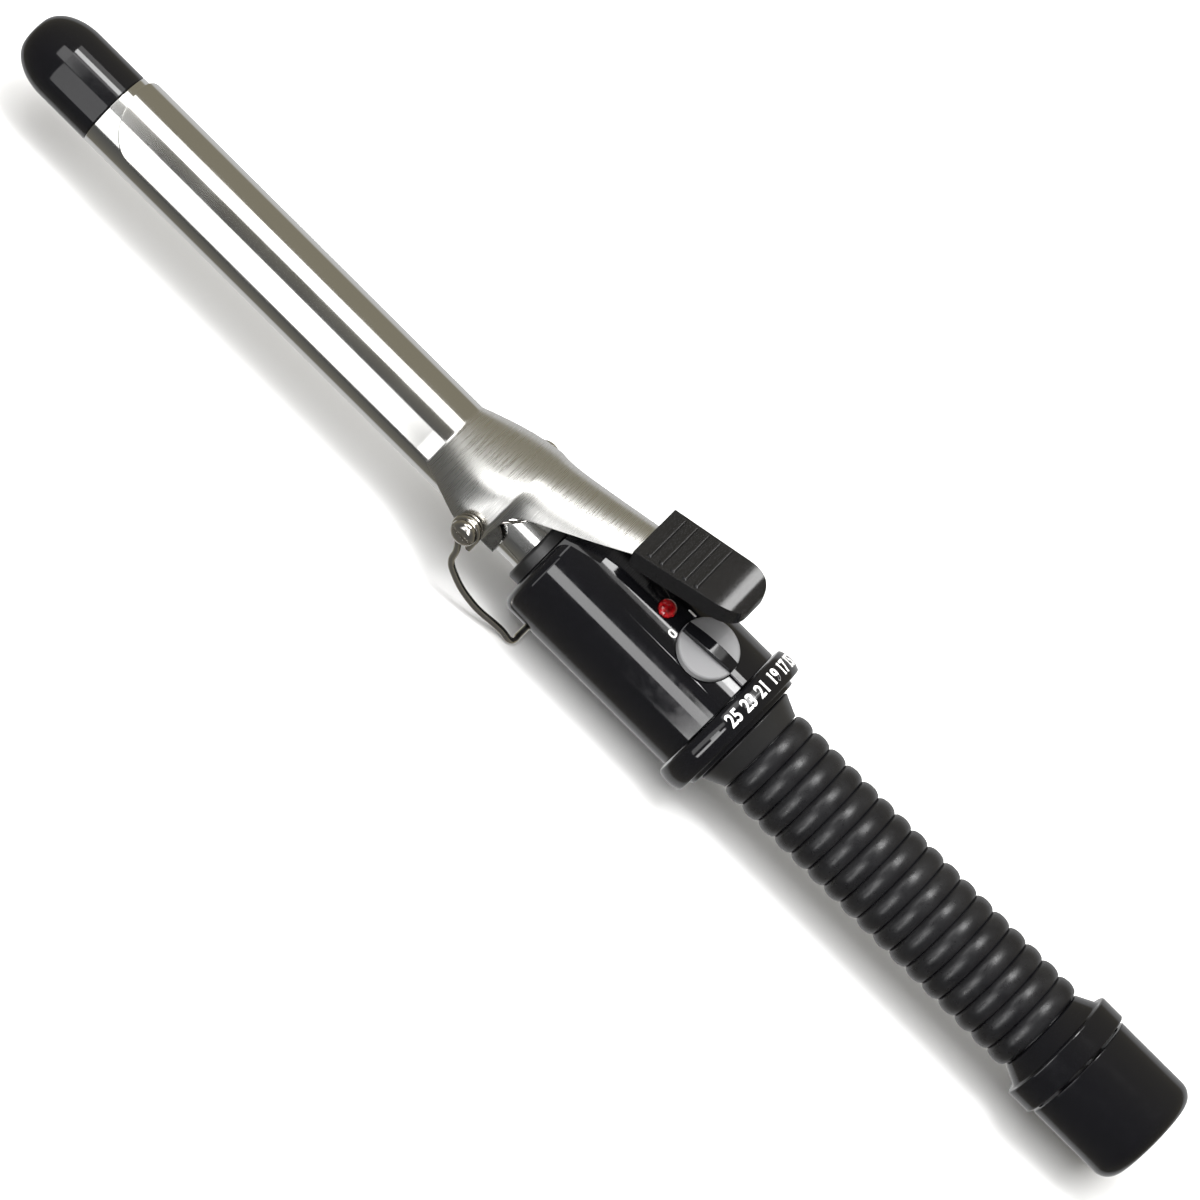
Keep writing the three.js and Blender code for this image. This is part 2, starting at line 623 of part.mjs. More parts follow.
// Controls sit on a line turned round the housing: this puts a geometry made for the top there.
const toControls = (geometry) => geometry.rotateX(THREE.MathUtils.degToRad(controls.turn));
const knobX = X.housingEnd - controls.fromRear;
const ledX = knobX - controls.ledAhead;
const knobBase = housing.radius + knob.top - knob.thickness;
const seatFloor = knobBase - GAP - knob.floor; // underside of the switch's seat
const housingScrewX = bulkheadX + bulkhead.thickness / 2;
const trackFrom = bulkheadX + bulkhead.thickness + GAP;
const housingScrewSize = { head: 2.1, shank: 0.9, land: 0.8 };
const screwSeat = -housingBore - housingScrewSize.land;

// A shallow saddle in the housing's front shoulder, tapering to the rear in plan.
function leverRelief() {
  const plan = new THREE.Shape();
  plan.moveTo(X.housing - 1, -relief.front / 2);
  plan.lineTo(X.housing + relief.length, -relief.rear / 2);
  plan.lineTo(X.housing + relief.length, relief.rear / 2);
  plan.lineTo(X.housing - 1, relief.front / 2);
  plan.closePath();
  const prism = new THREE.ExtrudeGeometry(plan, { depth: LONG, bevelEnabled: false });
  return keep(tube(X.housing - 2, X.housing + LONG, LONG, housing.radius - relief.depth), prism);
}

function housingShell() {
  const bore = spigotRadius + GAP;
  const shoulder = quarter(
    [X.housing, housing.radius - housing.nose],
    [X.housing + housing.nose, housing.radius],
    5,
    "first",
  );
  const shell = turned([
    [X.housing, bore],
    ...shoulder,
    [X.housingEnd, housing.radius],
    [X.housingEnd, housingBore],
    [X.housing + housing.wall, housingBore],
    [X.housing + housing.wall, bore],
  ]);
  const seatRadius = knob.radius + GAP + 1;
  const seat = keep(
    toControls(post(seatFloor, LONG, seatRadius, ROUND).translate(knobX, 0, 0)),
    rod(X.housing, trackFrom - GAP, housing.radius - 0.2, ROUND),
  );
  const pointer = toControls(
    block(
      [X.housingEnd - pointerRidge.length, -pointerRidge.width / 2, housing.radius - pointerRidge.root],
      [X.housingEnd, pointerRidge.width / 2, housing.radius + pointerRidge.height],
    ),
  );
  const well = toControls(post(knobBase - GAP, LONG, knob.radius + GAP, ROUND).translate(knobX, 0, 0));
  const spindleHole = toControls(post(0, LONG, knob.spindle + GAP).translate(knobX, 0, 0));
  const ledHole = toControls(post(0, LONG, led.radius + GAP, 16).translate(ledX, 0, 0));
  const screwHole = turnedUp([
    [-LONG, 0],
    [-LONG, housingScrewSize.head + GAP],
    [screwSeat, housingScrewSize.head + GAP],
    [screwSeat, housingScrewSize.shank + GAP],
    [0, housingScrewSize.shank + GAP],
    [0, 0],
  ]).translate(housingScrewX, 0, 0);
  return cut(join(shell, seat, pointer), well, spindleHole, ledHole, screwHole, leverRelief());
}

function housingScrew() {
  const seat = screwSeat - GAP / 2;
  const low = -housing.radius + 0.1;
  const high = -bulkhead.hole - 4;
  return turnedUp([
    [low, 0],
    [low, housingScrewSize.head],
    [seat, housingScrewSize.head],
    [seat, housingScrewSize.shank],
    [high, housingScrewSize.shank],
    [high, 0],
  ]).translate(housingScrewX, 0, 0);
}

// ---- Switch, light and circuit board, made for the top of the housing and turned as one -----------
const switchTop = knobBase - switchCase.below;
const boardTop = board.height + board.thickness;
const boardFrom = bulkheadX - board.ahead - board.length;

const switchDisc = () =>
  turnedUp([
    [switchTop - 3, 0],
    [switchTop - 3, knob.spindle],
    [knobBase, knob.spindle],
    [knobBase, knob.radius],
    [knobBase + knob.thickness - 0.5, knob.radius],
    [knobBase + knob.thickness, knob.radius - 0.6],
    [knobBase + knob.thickness, 0],
  ], 28);

function switchBar() {
  const low = knobBase + knob.thickness + GAP / 2;
  const half = knob.radius - knobBar.inset;
  return block([-half, -knobBar.width / 2, low], [half, knobBar.width / 2, low + knobBar.top])
    .rotateZ(THREE.MathUtils.degToRad(knob.turn));
}

function switchBody() {
  const half = switchCase.width / 2;
  const body = block([-switchCase.ahead, -half, boardTop + GAP], [bulkheadX - GAP - knobX, half, switchTop]);
  const socket = post(switchTop - switchCase.socket, LONG, knob.spindle + GAP);
  return cut(body, socket);
}

function ledLens() {
  const top = housing.radius + 0.2;
  const dome = [];
  for (let i = 0; i <= 5; i++) {
    const turn = (i / 5) * (Math.PI / 2);
    dome.push([top + led.dome * Math.sin(turn), i === 5 ? 0 : led.radius * Math.cos(turn)]);
  }
  const base = housingBore - 2.2;
  const step = base + led.flangeThickness;
  return turnedUp([[base, 0], [base, led.flange], [step, led.flange], [step, led.radius], ...dome], 20);
}

function ledDiode() {
  const top = housingBore - 2.5;
  const bulb = turnedUp([[top - 4.4, 0], [top - 4.4, 1.7], [top - 1.2, 1.7], [top, 0.9], [top, 0]], 12);
  const legs = [-0.7, 0.7].map((x) => block([x - 0.25, -0.25, boardTop + GAP], [x + 0.25, 0.25, top - 3.6]));
  return join(bulb, ...legs);
}

const circuitBoard = () =>
  block([boardFrom, -board.width / 2, board.height], [boardFrom + board.length, board.width / 2, boardTop]);
const triac = () => {
  const { from, tab, length, width, side, depth, tabThickness } = triacSize;
  const top = board.height - GAP;
  const start = boardFrom + from;
  const end = start + tab + length;
  const plate = block([start, side, top - tabThickness], [end, side + width, top]);
  const body = block([start + tab, side, top - depth], [end, side + width, top - tabThickness / 2]);
  return join(plate, body);
};
const capacitor = () => {
  const { from, length, width, side, depth } = capacitorSize;
  const top = board.height - GAP;
  return block([boardFrom + from, side, top - depth], [boardFrom + from + length, side + width, top]);
};

// ---- Dial, rheostat, bulkhead and core --------------------------------------------------------------
const dialBore = core.seat + GAP;

const dialRing = () =>
  turned([
    [X.dial, dialBore],
    [X.dial, dialRadius - dial.crown],
    [X.dial + dial.length * 0.2, dialRadius - dial.crown * 0.35],
    [X.dial + dial.length * 0.5, dialRadius],
    [X.dial + dial.length * 0.8, dialRadius - dial.crown * 0.35],
    [X.rim, dialRadius - dial.crown],
    [X.rim, dial.rimRadius],
    [X.rim + dial.rim, dial.rimRadius],
    [X.rim + dial.rim, dialBore],
  ], 40);

function dialWiper() {
  const ring = tube(X.housingEnd - 1.8, X.housingEnd, fitBore - 0.6, fitBore - 2.8);
  return keep(ring, block([X.nose, -4, 0], [X.end, 4, LONG]));
}
const rheostatTrack = () => {
  const ring = tube(trackFrom, trackFrom + 1.2, fitBore, dialBore);
  return cut(ring, block([X.nose, -1.5, -LONG], [X.end, 1.5, 0]));
};

// Two screws hold the bulkhead to the front end of the core.
const coreScrewRadius = (core.seat + core.bore) / 2;
const coreScrewSize = { head: 1.8, headHeight: 1, shank: 0.9, reach: 6 };
const coreScrewTurns = [200, 340].map((degrees) => THREE.MathUtils.degToRad(degrees));
const atCoreScrew = (geometry, turn) =>
  geometry.translate(0, coreScrewRadius * Math.cos(turn), coreScrewRadius * Math.sin(turn));

function bulkheadDisc() {
  const disc = tube(bulkheadX, bulkheadX + bulkhead.thickness, fitBore, bulkhead.hole);
  const drill = () => rod(bulkheadX - 1, bulkheadX + LONG, coreScrewSize.shank + GAP);
  const holes = coreScrewTurns.map((turn) => atCoreScrew(drill(), turn));
  const side = post(-LONG, -bulkhead.hole - 1, housingScrewSize.shank + GAP).translate(housingScrewX, 0, 0);
  const flat = toControls(block([X.nose, -LONG, seatFloor - GAP], [X.end, LONG, LONG]));
  return cut(disc, ...holes, side, flat);
}
const coreScrew = (turn) =>
  atCoreScrew(
    turned([
      [bulkheadX - GAP - coreScrewSize.headHeight, 0],
      [bulkheadX - GAP - coreScrewSize.headHeight, coreScrewSize.head],
      [bulkheadX - GAP, coreScrewSize.head],
      [bulkheadX - GAP, coreScrewSize.shank],
      [trackFrom + coreScrewSize.reach, coreScrewSize.shank],
      [trackFrom + coreScrewSize.reach, 0],
    ], SMALL_ROUND),
    turn,
  );

const coreEnd = X.flangeEnd - flange.lip - swivel.collar - 2 * GAP;

function handleCore() {
  const body = turned([
    [trackFrom, core.seat],
    [X.neck, core.seat],
    [X.neck, core.neckFront - 0.4],
    [X.neck + 0.4, core.neckFront],
    [X.neck + core.neckLength, core.neckRear],
    [X.neck + core.neckLength, core.tube],
    [coreEnd, core.tube],
    [coreEnd, core.bore],
    [trackFrom, core.bore],
  ]);
  const drill = () => rod(trackFrom - 1, trackFrom + coreScrewSize.reach + 1, coreScrewSize.shank + GAP);
  const holes = coreScrewTurns.map((turn) => atCoreScrew(drill(), turn));
  return cut(body, ...holes);
}

function gripSleeve() {
  const profile = [[X.grip, core.tube + GAP], [X.grip, grip.valley]];
  const rise = grip.crest - grip.valley;
  for (let rib = 0; rib < grip.ribs; rib++)
    for (const share of [0.15, 0.5, 0.85]) {
      const lift = rise * Math.sqrt(Math.sin(Math.PI * share));
      profile.push([X.grip + (rib + share) * grip.pitch, grip.valley + lift]);
    }
  profile.push([X.gripEnd, grip.valley], [X.gripEnd, core.tube + GAP]);
  return turned(profile, 20);
}

// ---- End flange, swivel and cap ------------------------------------------------------------------------
const flangeBore = core.tube + GAP;
const endFlange = () =>
  turned([
    [X.flare, flangeBore],
    [X.flare, flare.front],
    [X.flange, flare.rear],
    [X.flange, flange.radius - flange.edge],
    [X.flange + flange.edge, flange.radius],
    [X.flangeEnd - flange.edge, flange.radius],
    [X.flangeEnd, flange.radius - flange.edge],
    [X.flangeEnd, core.bore],
    [X.flangeEnd - flange.lip, core.bore],
    [X.flangeEnd - flange.lip, flangeBore],
  ]);

const swivelFront = coreEnd - 15;
const swivelCore = () =>
  turned([
    [swivelFront, swivel.leadBore],
    [swivelFront, swivel.shaft],
    [coreEnd + GAP, swivel.shaft],
    [coreEnd + GAP, flangeBore - GAP],
    [coreEnd + GAP + swivel.collar, flangeBore - GAP],
    [coreEnd + GAP + swivel.collar, core.bore - GAP],
    [X.cap + 0.6, core.bore - GAP],
    [X.cap + 0.6, cap.radius - cap.wall - GAP],
    [X.cap + 3.6, cap.radius - cap.wall - GAP],
    [X.cap + 3.6, swivel.leadBore],
  ], 24);

const ringFrom = (i) => swivelFront + 2 + i * swivel.ringPitch;
const slipRing = (i) =>
  tube(ringFrom(i), ringFrom(i) + swivel.ringWidth, swivel.shaft + GAP + swivel.ring, swivel.shaft + GAP, 20);

// A spring leaf on the core's bore that rubs on a slip ring, live above and neutral below.
function brushContact(i) {
  const rub = swivel.shaft + 2 * GAP + swivel.ring;
  const middle = ringFrom(i) + swivel.ringWidth / 2;
  const leaf = block([swivelFront - 6, -1, rub], [middle + 1, 1, rub + 0.4]);
  const pad = block([middle - 1, -1, rub - 0.15], [middle + 1, 1, core.bore - GAP]);
  return join(leaf, pad).rotateX(i * Math.PI);
}

function swivelCap() {
  const inner = cap.radius - cap.wall;
  const hole = bushing.bore + bushing.wall + GAP;
  return turned([
    [X.cap, inner],
    [X.cap, cap.radius - 0.4],
    [X.cap + 0.4, cap.radius],
    ...quarter([X.end - cap.corner, cap.radius], [X.end, cap.radius - cap.corner], 5, "last"),
    [X.end, hole],
    [X.end - cap.wall, hole],
    [X.end - cap.wall, inner - 1.5],
    [X.end - cap.wall - 2.5, inner],
  ]);
}

function cordBushing() {
  const outer = bushing.bore + bushing.wall;
  const seat = X.end - cap.wall - GAP;
  return turned([
    [X.end - bushing.length, bushing.bore],
    [X.end - bushing.length, outer],
    [seat - bushing.flangeThickness, outer],
    [seat - bushing.flangeThickness, bushing.flange],
    [seat, bushing.flange],
    [seat, outer],
    [X.end - 0.3, outer],
    [X.end - 0.3, bushing.bore],
  ], 24);
}

// Insulated leads: two from the heater to the board, and two from the slip rings to the board.
const lead = { radius: 0.6, steps: 10, sides: 6 };
const leadWire = (points) => wire(points, lead.radius, lead.steps, lead.sides);
const heaterLead = (side) => {
  const from = X.barrel + heater.front + heater.length + GAP;
  return leadWire([
    [from, side * 4.4, 0],
    [(from + X.housing) / 2, side * 4.2, 0],
    [X.housing + insulator.length, side * 3.2, 0],
    [boardFrom + 1, side * 3, -1],
  ]);
};
const powerLead = (side) =>
  leadWire([
    [bulkheadX - 2, side * 3, -1],
    [trackFrom, side * 2.6, 0],
    [swivelFront - 8, side * 2.6, 0],
    [swivelFront - 1.5, side * 2.6, side * 2],
  ]);

// ---- Assembly ----------------------------------------------------------------------------------------
const iron = new THREE.Group();
iron.position.z = dialRadius;

piece(iron, "barrel", barrelTube(), "chrome");
piece(iron, "cool_tip", coolTip(), "gloss");
piece(iron, "heater_element", heaterPlate(), "ceramic");
piece(iron, "heat_spreader_upper", spreaderHalf(), "aluminium");
piece(iron, "heat_spreader_lower", spreaderHalf(), "aluminium").rotation.x = Math.PI;
const fuseFrom = X.barrel + heater.front + heater.length + fuse.behind;
piece(iron, "thermal_fuse", rod(fuseFrom, fuseFrom + fuse.length, fuse.radius, 12), "nickel");
piece(iron, "pivot_bracket", pivotBracket(), "brushed");
rivetX.forEach((x, i) => {
  piece(iron, `bracket_rivet_${i + 1}`, bracketRivet(), "nickel").position.x = x;
});
for (const [side, turn] of [["back", 0], ["front", Math.PI]]) {
  const pivotSide = new THREE.Group();
  pivotSide.position.set(pivotX, 0, pivot.height);
  pivotSide.rotation.z = turn;
  iron.add(pivotSide);
  piece(pivotSide, `pivot_screw_${side}`, pivotScrew(), "nickel");
  piece(pivotSide, `pivot_bush_${side}`, pivotBush(), "nickel");
  piece(pivotSide, `pivot_washer_${side}`, pivotWasher(), "nickel");
}
piece(iron, "front_collar", frontCollar(), "satin");
piece(iron, "barrel_insulator", barrelInsulator(), "insulation");
piece(iron, "housing_shell", housingShell(), "gloss");
piece(iron, "housing_screw", housingScrew(), "nickel");
piece(iron, "bulkhead", bulkheadDisc(), "satin");
coreScrewTurns.forEach((turn, i) => piece(iron, `core_screw_${i + 1}`, coreScrew(turn), "nickel"));
piece(iron, "rheostat_track", rheostatTrack(), "board");
piece(iron, "handle_core", handleCore(), "satin");
piece(iron, "grip_sleeve", gripSleeve(), "rubber");
piece(iron, "end_flange", endFlange(), "gloss");
["live", "neutral"].forEach((pole, i) => {
  piece(iron, `brush_contact_${pole}`, brushContact(i), "copper");
  piece(iron, `heater_lead_${pole}`, heaterLead(i ? -1 : 1), "insulation");
  piece(iron, `power_lead_${pole}`, powerLead(i ? -1 : 1), "insulation");
});

const electrics = new THREE.Group();
electrics.rotation.x = THREE.MathUtils.degToRad(controls.turn);
iron.add(electrics);
piece(electrics, "circuit_board", circuitBoard(), "board");
piece(electrics, "triac", triac(), "satin");
piece(electrics, "capacitor", capacitor(), "red");
piece(electrics, "led_lens", ledLens(), "red").position.x = ledX;
piece(electrics, "led_diode", ledDiode(), "red").position.x = ledX;
piece(electrics, "switch_body", switchBody(), "satin").position.x = knobX;
piece(electrics, "switch_disc", switchDisc(), "grey").position.x = knobX;
piece(electrics, "switch_bar", switchBar(), "gloss").position.x = knobX;

const stakeHole = post(-LONG, LONG, stake.radius + GAP)
  .translate(stakeX, 0, 0)
  .rotateY(-leverSlope)
  .translate(pressX, 0, leverTop(pressX));
const earHole = pin(-LONG, LONG, pivot.bush + GAP).translate(pivotX, 0, pivot.height);
piece(iron, "clip", cut(keep(clipSheet(), clipSide()), earHole, stakeHole), "brushed");
const slope = new THREE.Group();
slope.position.set(pressX, 0, leverTop(pressX));
slope.rotation.y = -leverSlope;
iron.add(slope);
piece(slope, "thumb_press", thumbPress(), "satin");
piece(slope, "press_washer", stakeWasher(), "nickel");
piece(iron, "clip_spring", clipSpring(), "nickel");

piece(iron, "stand_wire", standWire(), "nickel");
piece(iron, "dial_ring", dialRing(), "gloss");
piece(iron, "dial_wiper", dialWiper(), "copper");
piece(iron, "swivel_cap", swivelCap(), "gloss");
piece(iron, "swivel_core", swivelCore(), "satin");
["live", "neutral"].forEach((pole, i) => piece(iron, `slip_ring_${pole}`, slipRing(i), "copper"));
piece(iron, "cord_bushing", cordBushing(), "rubber");

const part = new THREE.Group();
part.add(iron);
export default part;
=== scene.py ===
# %% [markdown]
# # A curling iron, finished around its working frame
# A curling iron is a chromed tube with a heater inside, a sprung clip that lies on the tube, and a
# handle with the controls. The frame already holds every part at its real size and place, and it
# moves. What is left is the surface: round things made round, edges broken, and finishes that
# catch the light as chrome, moulded plastic and rubber do. So each cell below makes one piece
# around the frame's own measurements, and nothing is moved or resized.

# %% Load the frame and measure it
import json
from math import asin, atan, cos, exp, pi, radians, sin, sqrt, tan

import bpy
from mathutils import Matrix, Vector


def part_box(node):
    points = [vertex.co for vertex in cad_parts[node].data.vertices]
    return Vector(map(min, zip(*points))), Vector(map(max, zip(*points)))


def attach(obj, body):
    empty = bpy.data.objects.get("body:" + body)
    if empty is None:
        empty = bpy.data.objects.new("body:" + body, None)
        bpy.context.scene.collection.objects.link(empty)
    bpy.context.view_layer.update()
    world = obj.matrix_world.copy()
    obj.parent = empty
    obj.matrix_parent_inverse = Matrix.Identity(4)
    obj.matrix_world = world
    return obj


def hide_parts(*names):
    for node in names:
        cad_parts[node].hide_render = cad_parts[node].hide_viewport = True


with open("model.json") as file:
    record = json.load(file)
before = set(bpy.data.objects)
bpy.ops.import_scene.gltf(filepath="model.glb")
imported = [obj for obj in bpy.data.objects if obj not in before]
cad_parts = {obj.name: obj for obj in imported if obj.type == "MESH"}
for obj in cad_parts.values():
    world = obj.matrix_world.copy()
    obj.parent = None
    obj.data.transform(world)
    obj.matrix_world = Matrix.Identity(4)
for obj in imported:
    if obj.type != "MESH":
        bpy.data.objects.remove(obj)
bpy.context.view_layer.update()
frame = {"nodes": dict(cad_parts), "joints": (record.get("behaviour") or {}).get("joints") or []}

MM = 0.001
GAP = 0.3 * MM  # clearance between pieces that touch
joints = {joint["name"]: joint for joint in frame["joints"]}
pivot = Vector(joints["clip_pivot"]["pos_m"])
knob_pin = Vector(joints["switch_turn"]["pos_m"])
AXIS = joints["dial_turn"]["pos_m"][2]  # height of the iron's centre line


def ends(node):
    """Where a round node starts and ends along the iron, and its largest radius."""
    low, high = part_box(node)
    return low.x, high.x, (high.y - low.y) / 2


# %% [markdown]
# ## The camera
# The iron lies along X. The lens looks down at it from half way between level and overhead, and
# the camera is rolled so that the iron runs across the picture from corner to corner. A long lens
# from well back keeps the far end of the handle as large as the near end, as a catalogue picture
# does. The camera's own axes are worked out as three vectors: back along the line of sight, then
# right and up, turned about it by the roll.

# %% Camera
VIEW_HEIGHT = radians(45)
ROLL = radians(44.84)
DISTANCE = 1.395
LENS = 188
AIM = Vector((3.45 * MM, -0.91 * MM, AXIS - 0.91 * MM))


def add_camera():
    back = Vector((0, -cos(VIEW_HEIGHT), sin(VIEW_HEIGHT)))
    beyond = Vector((0, sin(VIEW_HEIGHT), cos(VIEW_HEIGHT)))
    along = Vector((1, 0, 0))
    right = along * cos(ROLL) + beyond * sin(ROLL)
    up = beyond * cos(ROLL) - along * sin(ROLL)
    bpy.ops.object.camera_add(location=AIM + back * DISTANCE)
    camera = bpy.context.object
    camera.rotation_euler = Matrix((right, up, back)).transposed().to_euler()
    camera.data.lens = LENS
    camera.data.clip_start = 0.05
    camera.data.clip_end = 20
    bpy.context.scene.camera = camera
    return camera


print("camera at", [round(v, 3) for v in add_camera().location])

# %% [markdown]
# ## The studio
# Chrome has no look of its own: it shows the room. A studio lights it with softboxes laid parallel
# to the tube, because each one then draws a clean band along it. One stands low in front and one
# hangs overhead, and what is left between them stays dark, so that the bands have edges. They are
# dim over the barrel, where chrome turns them white anyway, and bright over the handle, because
# black plastic returns only a twentieth of the light. They end before the cap, which stays plain.
# A fill from above evens the floor, and neither it nor the floor is seen in the gloss. The world is
# a dim warm grey, with a pale field behind and below the iron that draws a thin rim along each
# side.

# %% Floor, softboxes and world
STUDIO = Vector((0, 0, AXIS))
BOX_DISTANCE = 0.9
BOXES_FROM = -0.3  # where the softboxes start and end along the iron
BOXES_TO = 0.19
RIM_TOWARD = Vector((0, 1, -1)).normalized()  # the middle of the pale field
RIM_WIDTH = radians(50)


def panel(name, middle, long_way, length, width, brightness):
    """A light panel that faces the iron, its length along long_way."""
    back = (middle - STUDIO).normalized()
    along = (long_way - back * long_way.dot(back)).normalized()
    bpy.ops.object.light_add(type="AREA", location=middle)
    light = bpy.context.object
    light.name = name
    light.rotation_euler = Matrix((along, back.cross(along), back)).transposed().to_euler()
    light.data.shape = "RECTANGLE"
    light.data.size = length
    light.data.size_y = width
    light.data.energy = brightness * pi * length * width
    light.visible_camera = False
    print(name, round(length, 2), "by", round(width, 2), "m,", round(light.data.energy, 1), "W")
    return light


def softbox(name, elevation, half_angle, brightness, start=BOXES_FROM, end=BOXES_TO):
    """A panel along X, at an elevation measured from the front horizon over the top."""
    angle = radians(elevation)
    toward = Vector((0, -cos(angle), sin(angle)))
    width = 2 * BOX_DISTANCE * tan(radians(half_angle))
    light = panel(name, STUDIO + toward * BOX_DISTANCE, Vector((1, 0, 0)), end - start, width, brightness)
    light.location.x = (start + end) / 2
    return light


softbox("front_barrel", elevation=7, half_angle=31, brightness=1.9, end=-0.085)
front_housing = softbox("front_housing", elevation=18, half_angle=8, brightness=6.5, start=-0.085, end=0.06)
front_handle = softbox("front_handle", elevation=6, half_angle=28, brightness=8, start=0.06)
softbox("overhead_sheet", elevation=89, half_angle=17, brightness=1.9)
softbox("overhead_core", elevation=85, half_angle=6, brightness=12)
softbox("overhead_rear", elevation=87, half_angle=16, brightness=10, start=0.045, end=0.085)
softbox("lever_box", elevation=57, half_angle=17, brightness=2.5, start=-0.62, end=-0.27)
press_light = softbox("press_box", elevation=136, half_angle=9, brightness=9, start=-0.19, end=0.0)
fill = panel("fill", STUDIO + Vector((0, 0, 1.8)), Vector((1, 0, 0)), 3.2, 3.2, 2.8)
fill.visible_glossy = False


def add_floor():
    bpy.ops.mesh.primitive_plane_add(size=12)
    floor = bpy.context.object
    floor.name = "floor"
    floor.visible_glossy = False
    paper = bpy.data.materials.new("floor_paper")
    paper.use_nodes = True
    tree = paper.node_tree
    shader = tree.nodes["Principled BSDF"]
    shader.inputs["Roughness"].default_value = 0.9
    shader.inputs["Specular IOR Level"].default_value = 0.1
    shader.inputs["Base Color"].default_value = (0.84, 0.84, 0.84, 1)
    floor.data.materials.append(paper)
    return floor


def add_world():
    world = bpy.data.worlds.new("studio")
    bpy.context.scene.world = world
    world.use_nodes = True
    tree = world.node_tree
    ground = tree.nodes["Background"]
    place = tree.nodes.new("ShaderNodeTexCoord")
    split = tree.nodes.new("ShaderNodeSeparateXYZ")
    shade = tree.nodes.new("ShaderNodeValToRGB")
    tree.links.new(place.outputs["Generated"], split.inputs[0])
    shade.color_ramp.elements[0].position = 0.05
    shade.color_ramp.elements[0].color = (0.09, 0.09, 0.09, 1)
    shade.color_ramp.elements[1].position = 0.75
    shade.color_ramp.elements[1].color = (0.25, 0.23, 0.175, 1)
    half = tree.nodes.new("ShaderNodeMapRange")
    half.inputs["From Min"].default_value = -1
    tree.links.new(split.outputs["Y"], half.inputs["Value"])
    tree.links.new(half.outputs["Result"], shade.inputs["Fac"])
    facing = tree.nodes.new("ShaderNodeVectorMath")
    facing.operation = "DOT_PRODUCT"
    facing.inputs[1].default_value = RIM_TOWARD
    tree.links.new(place.outputs["Generated"], facing.inputs[0])
    inside = tree.nodes.new("ShaderNodeMapRange")
    inside.inputs["From Min"].default_value = cos(RIM_WIDTH + radians(4))
    inside.inputs["From Max"].default_value = cos(RIM_WIDTH - radians(4))
    tree.links.new(facing.outputs["Value"], inside.inputs["Value"])
    rim = tree.nodes.new("ShaderNodeMixRGB")
    rim.inputs["Color2"].default_value = (0.6, 0.6, 0.6, 1)
    tree.links.new(inside.outputs["Result"], rim.inputs["Fac"])
    tree.links.new(shade.outputs["Color"], rim.inputs["Color1"])
    tree.links.new(rim.outputs["Color"], ground.inputs["Color"])
    pale = tree.nodes.new("ShaderNodeBackground")
    pale.inputs["Color"].default_value = (0.9, 0.9, 0.9, 1)
    path = tree.nodes.new("ShaderNodeLightPath")
    either = tree.nodes.new("ShaderNodeMixShader")
    tree.links.new(path.outputs["Is Camera Ray"], either.inputs["Fac"])
    tree.links.new(ground.outputs[0], either.inputs[1])
    tree.links.new(pale.outputs[0], either.inputs[2])
    tree.links.new(either.outputs[0], tree.nodes["World Output"].inputs["Surface"])


add_floor()
add_world()
bpy.context.scene.view_settings.view_transform = "Standard"
print("studio: nine panels, a pale floor and a dim world")

# %% [markdown]
# ## Material helpers
# Every finish is one Principled shader with a little noise behind it. Real surfaces are never
# even: plating has a faint grain from polishing, mouldings have a fine orange peel, and rubber has
# a dull bloom. Three small helpers are enough: noise stretched along any axis, noise turned into
# roughness, and noise turned into a bump. The noise reads object coordinates, in metres, so its
# scale is the real one, and what is the same all over is set on the shader itself.


# %% Material helpers
def finish(name, colour, metallic=0.0, roughness=0.4, **sockets):
    """A new material whose even values sit on the shader's own sockets."""
    made = bpy.data.materials.new(name)
    made.use_nodes = True
    shader = made.node_tree.nodes["Principled BSDF"]
    shader.inputs["Base Color"].default_value = (*colour, 1)
    shader.inputs["Metallic"].default_value = metallic
    shader.inputs["Roughness"].default_value = roughness
    for socket, value in sockets.items():
        shader.inputs[socket.replace("_", " ")].default_value = value
    made.diffuse_color = (*colour, 1)
    return made


def grain(made, size, detail=3.0, stretch=(1, 1, 1)):
    """Noise whose spots are size metres across, longer by stretch along each axis."""
    tree = made.node_tree
    place = tree.nodes.new("ShaderNodeTexCoord")
    mapping = tree.nodes.new("ShaderNodeMapping")
    noise = tree.nodes.new("ShaderNodeTexNoise")
    mapping.inputs["Scale"].default_value = [1 / (size * longer) for longer in stretch]
    noise.inputs["Scale"].default_value = 1
    noise.inputs["Detail"].default_value = detail
    tree.links.new(place.outputs["Object"], mapping.inputs["Vector"])
    tree.links.new(mapping.outputs["Vector"], noise.inputs["Vector"])
    return noise.outputs["Fac"]


def ranged(made, source, low, high, from_low=0.3, from_high=0.7):
    """The source value spread from low to high."""
    spread = made.node_tree.nodes.new("ShaderNodeMapRange")
    spread.inputs["From Min"].default_value = from_low
    spread.inputs["From Max"].default_value = from_high
    spread.inputs["To Min"].default_value = low
    spread.inputs["To Max"].default_value = high
    made.node_tree.links.new(source, spread.inputs["Value"])
    return spread.outputs["Result"]


def into(made, socket, source):
    made.node_tree.links.new(source, made.node_tree.nodes["Principled BSDF"].inputs[socket])


def bump(made, source, height):
    """The source value raises the surface by up to height metres."""
    tree = made.node_tree
    node = tree.nodes.new("ShaderNodeBump")
    node.inputs["Distance"].default_value = height
    node.inputs["Strength"].default_value = 1
    tree.links.new(source, node.inputs["Height"])
    into(made, "Normal", node.outputs["Normal"])


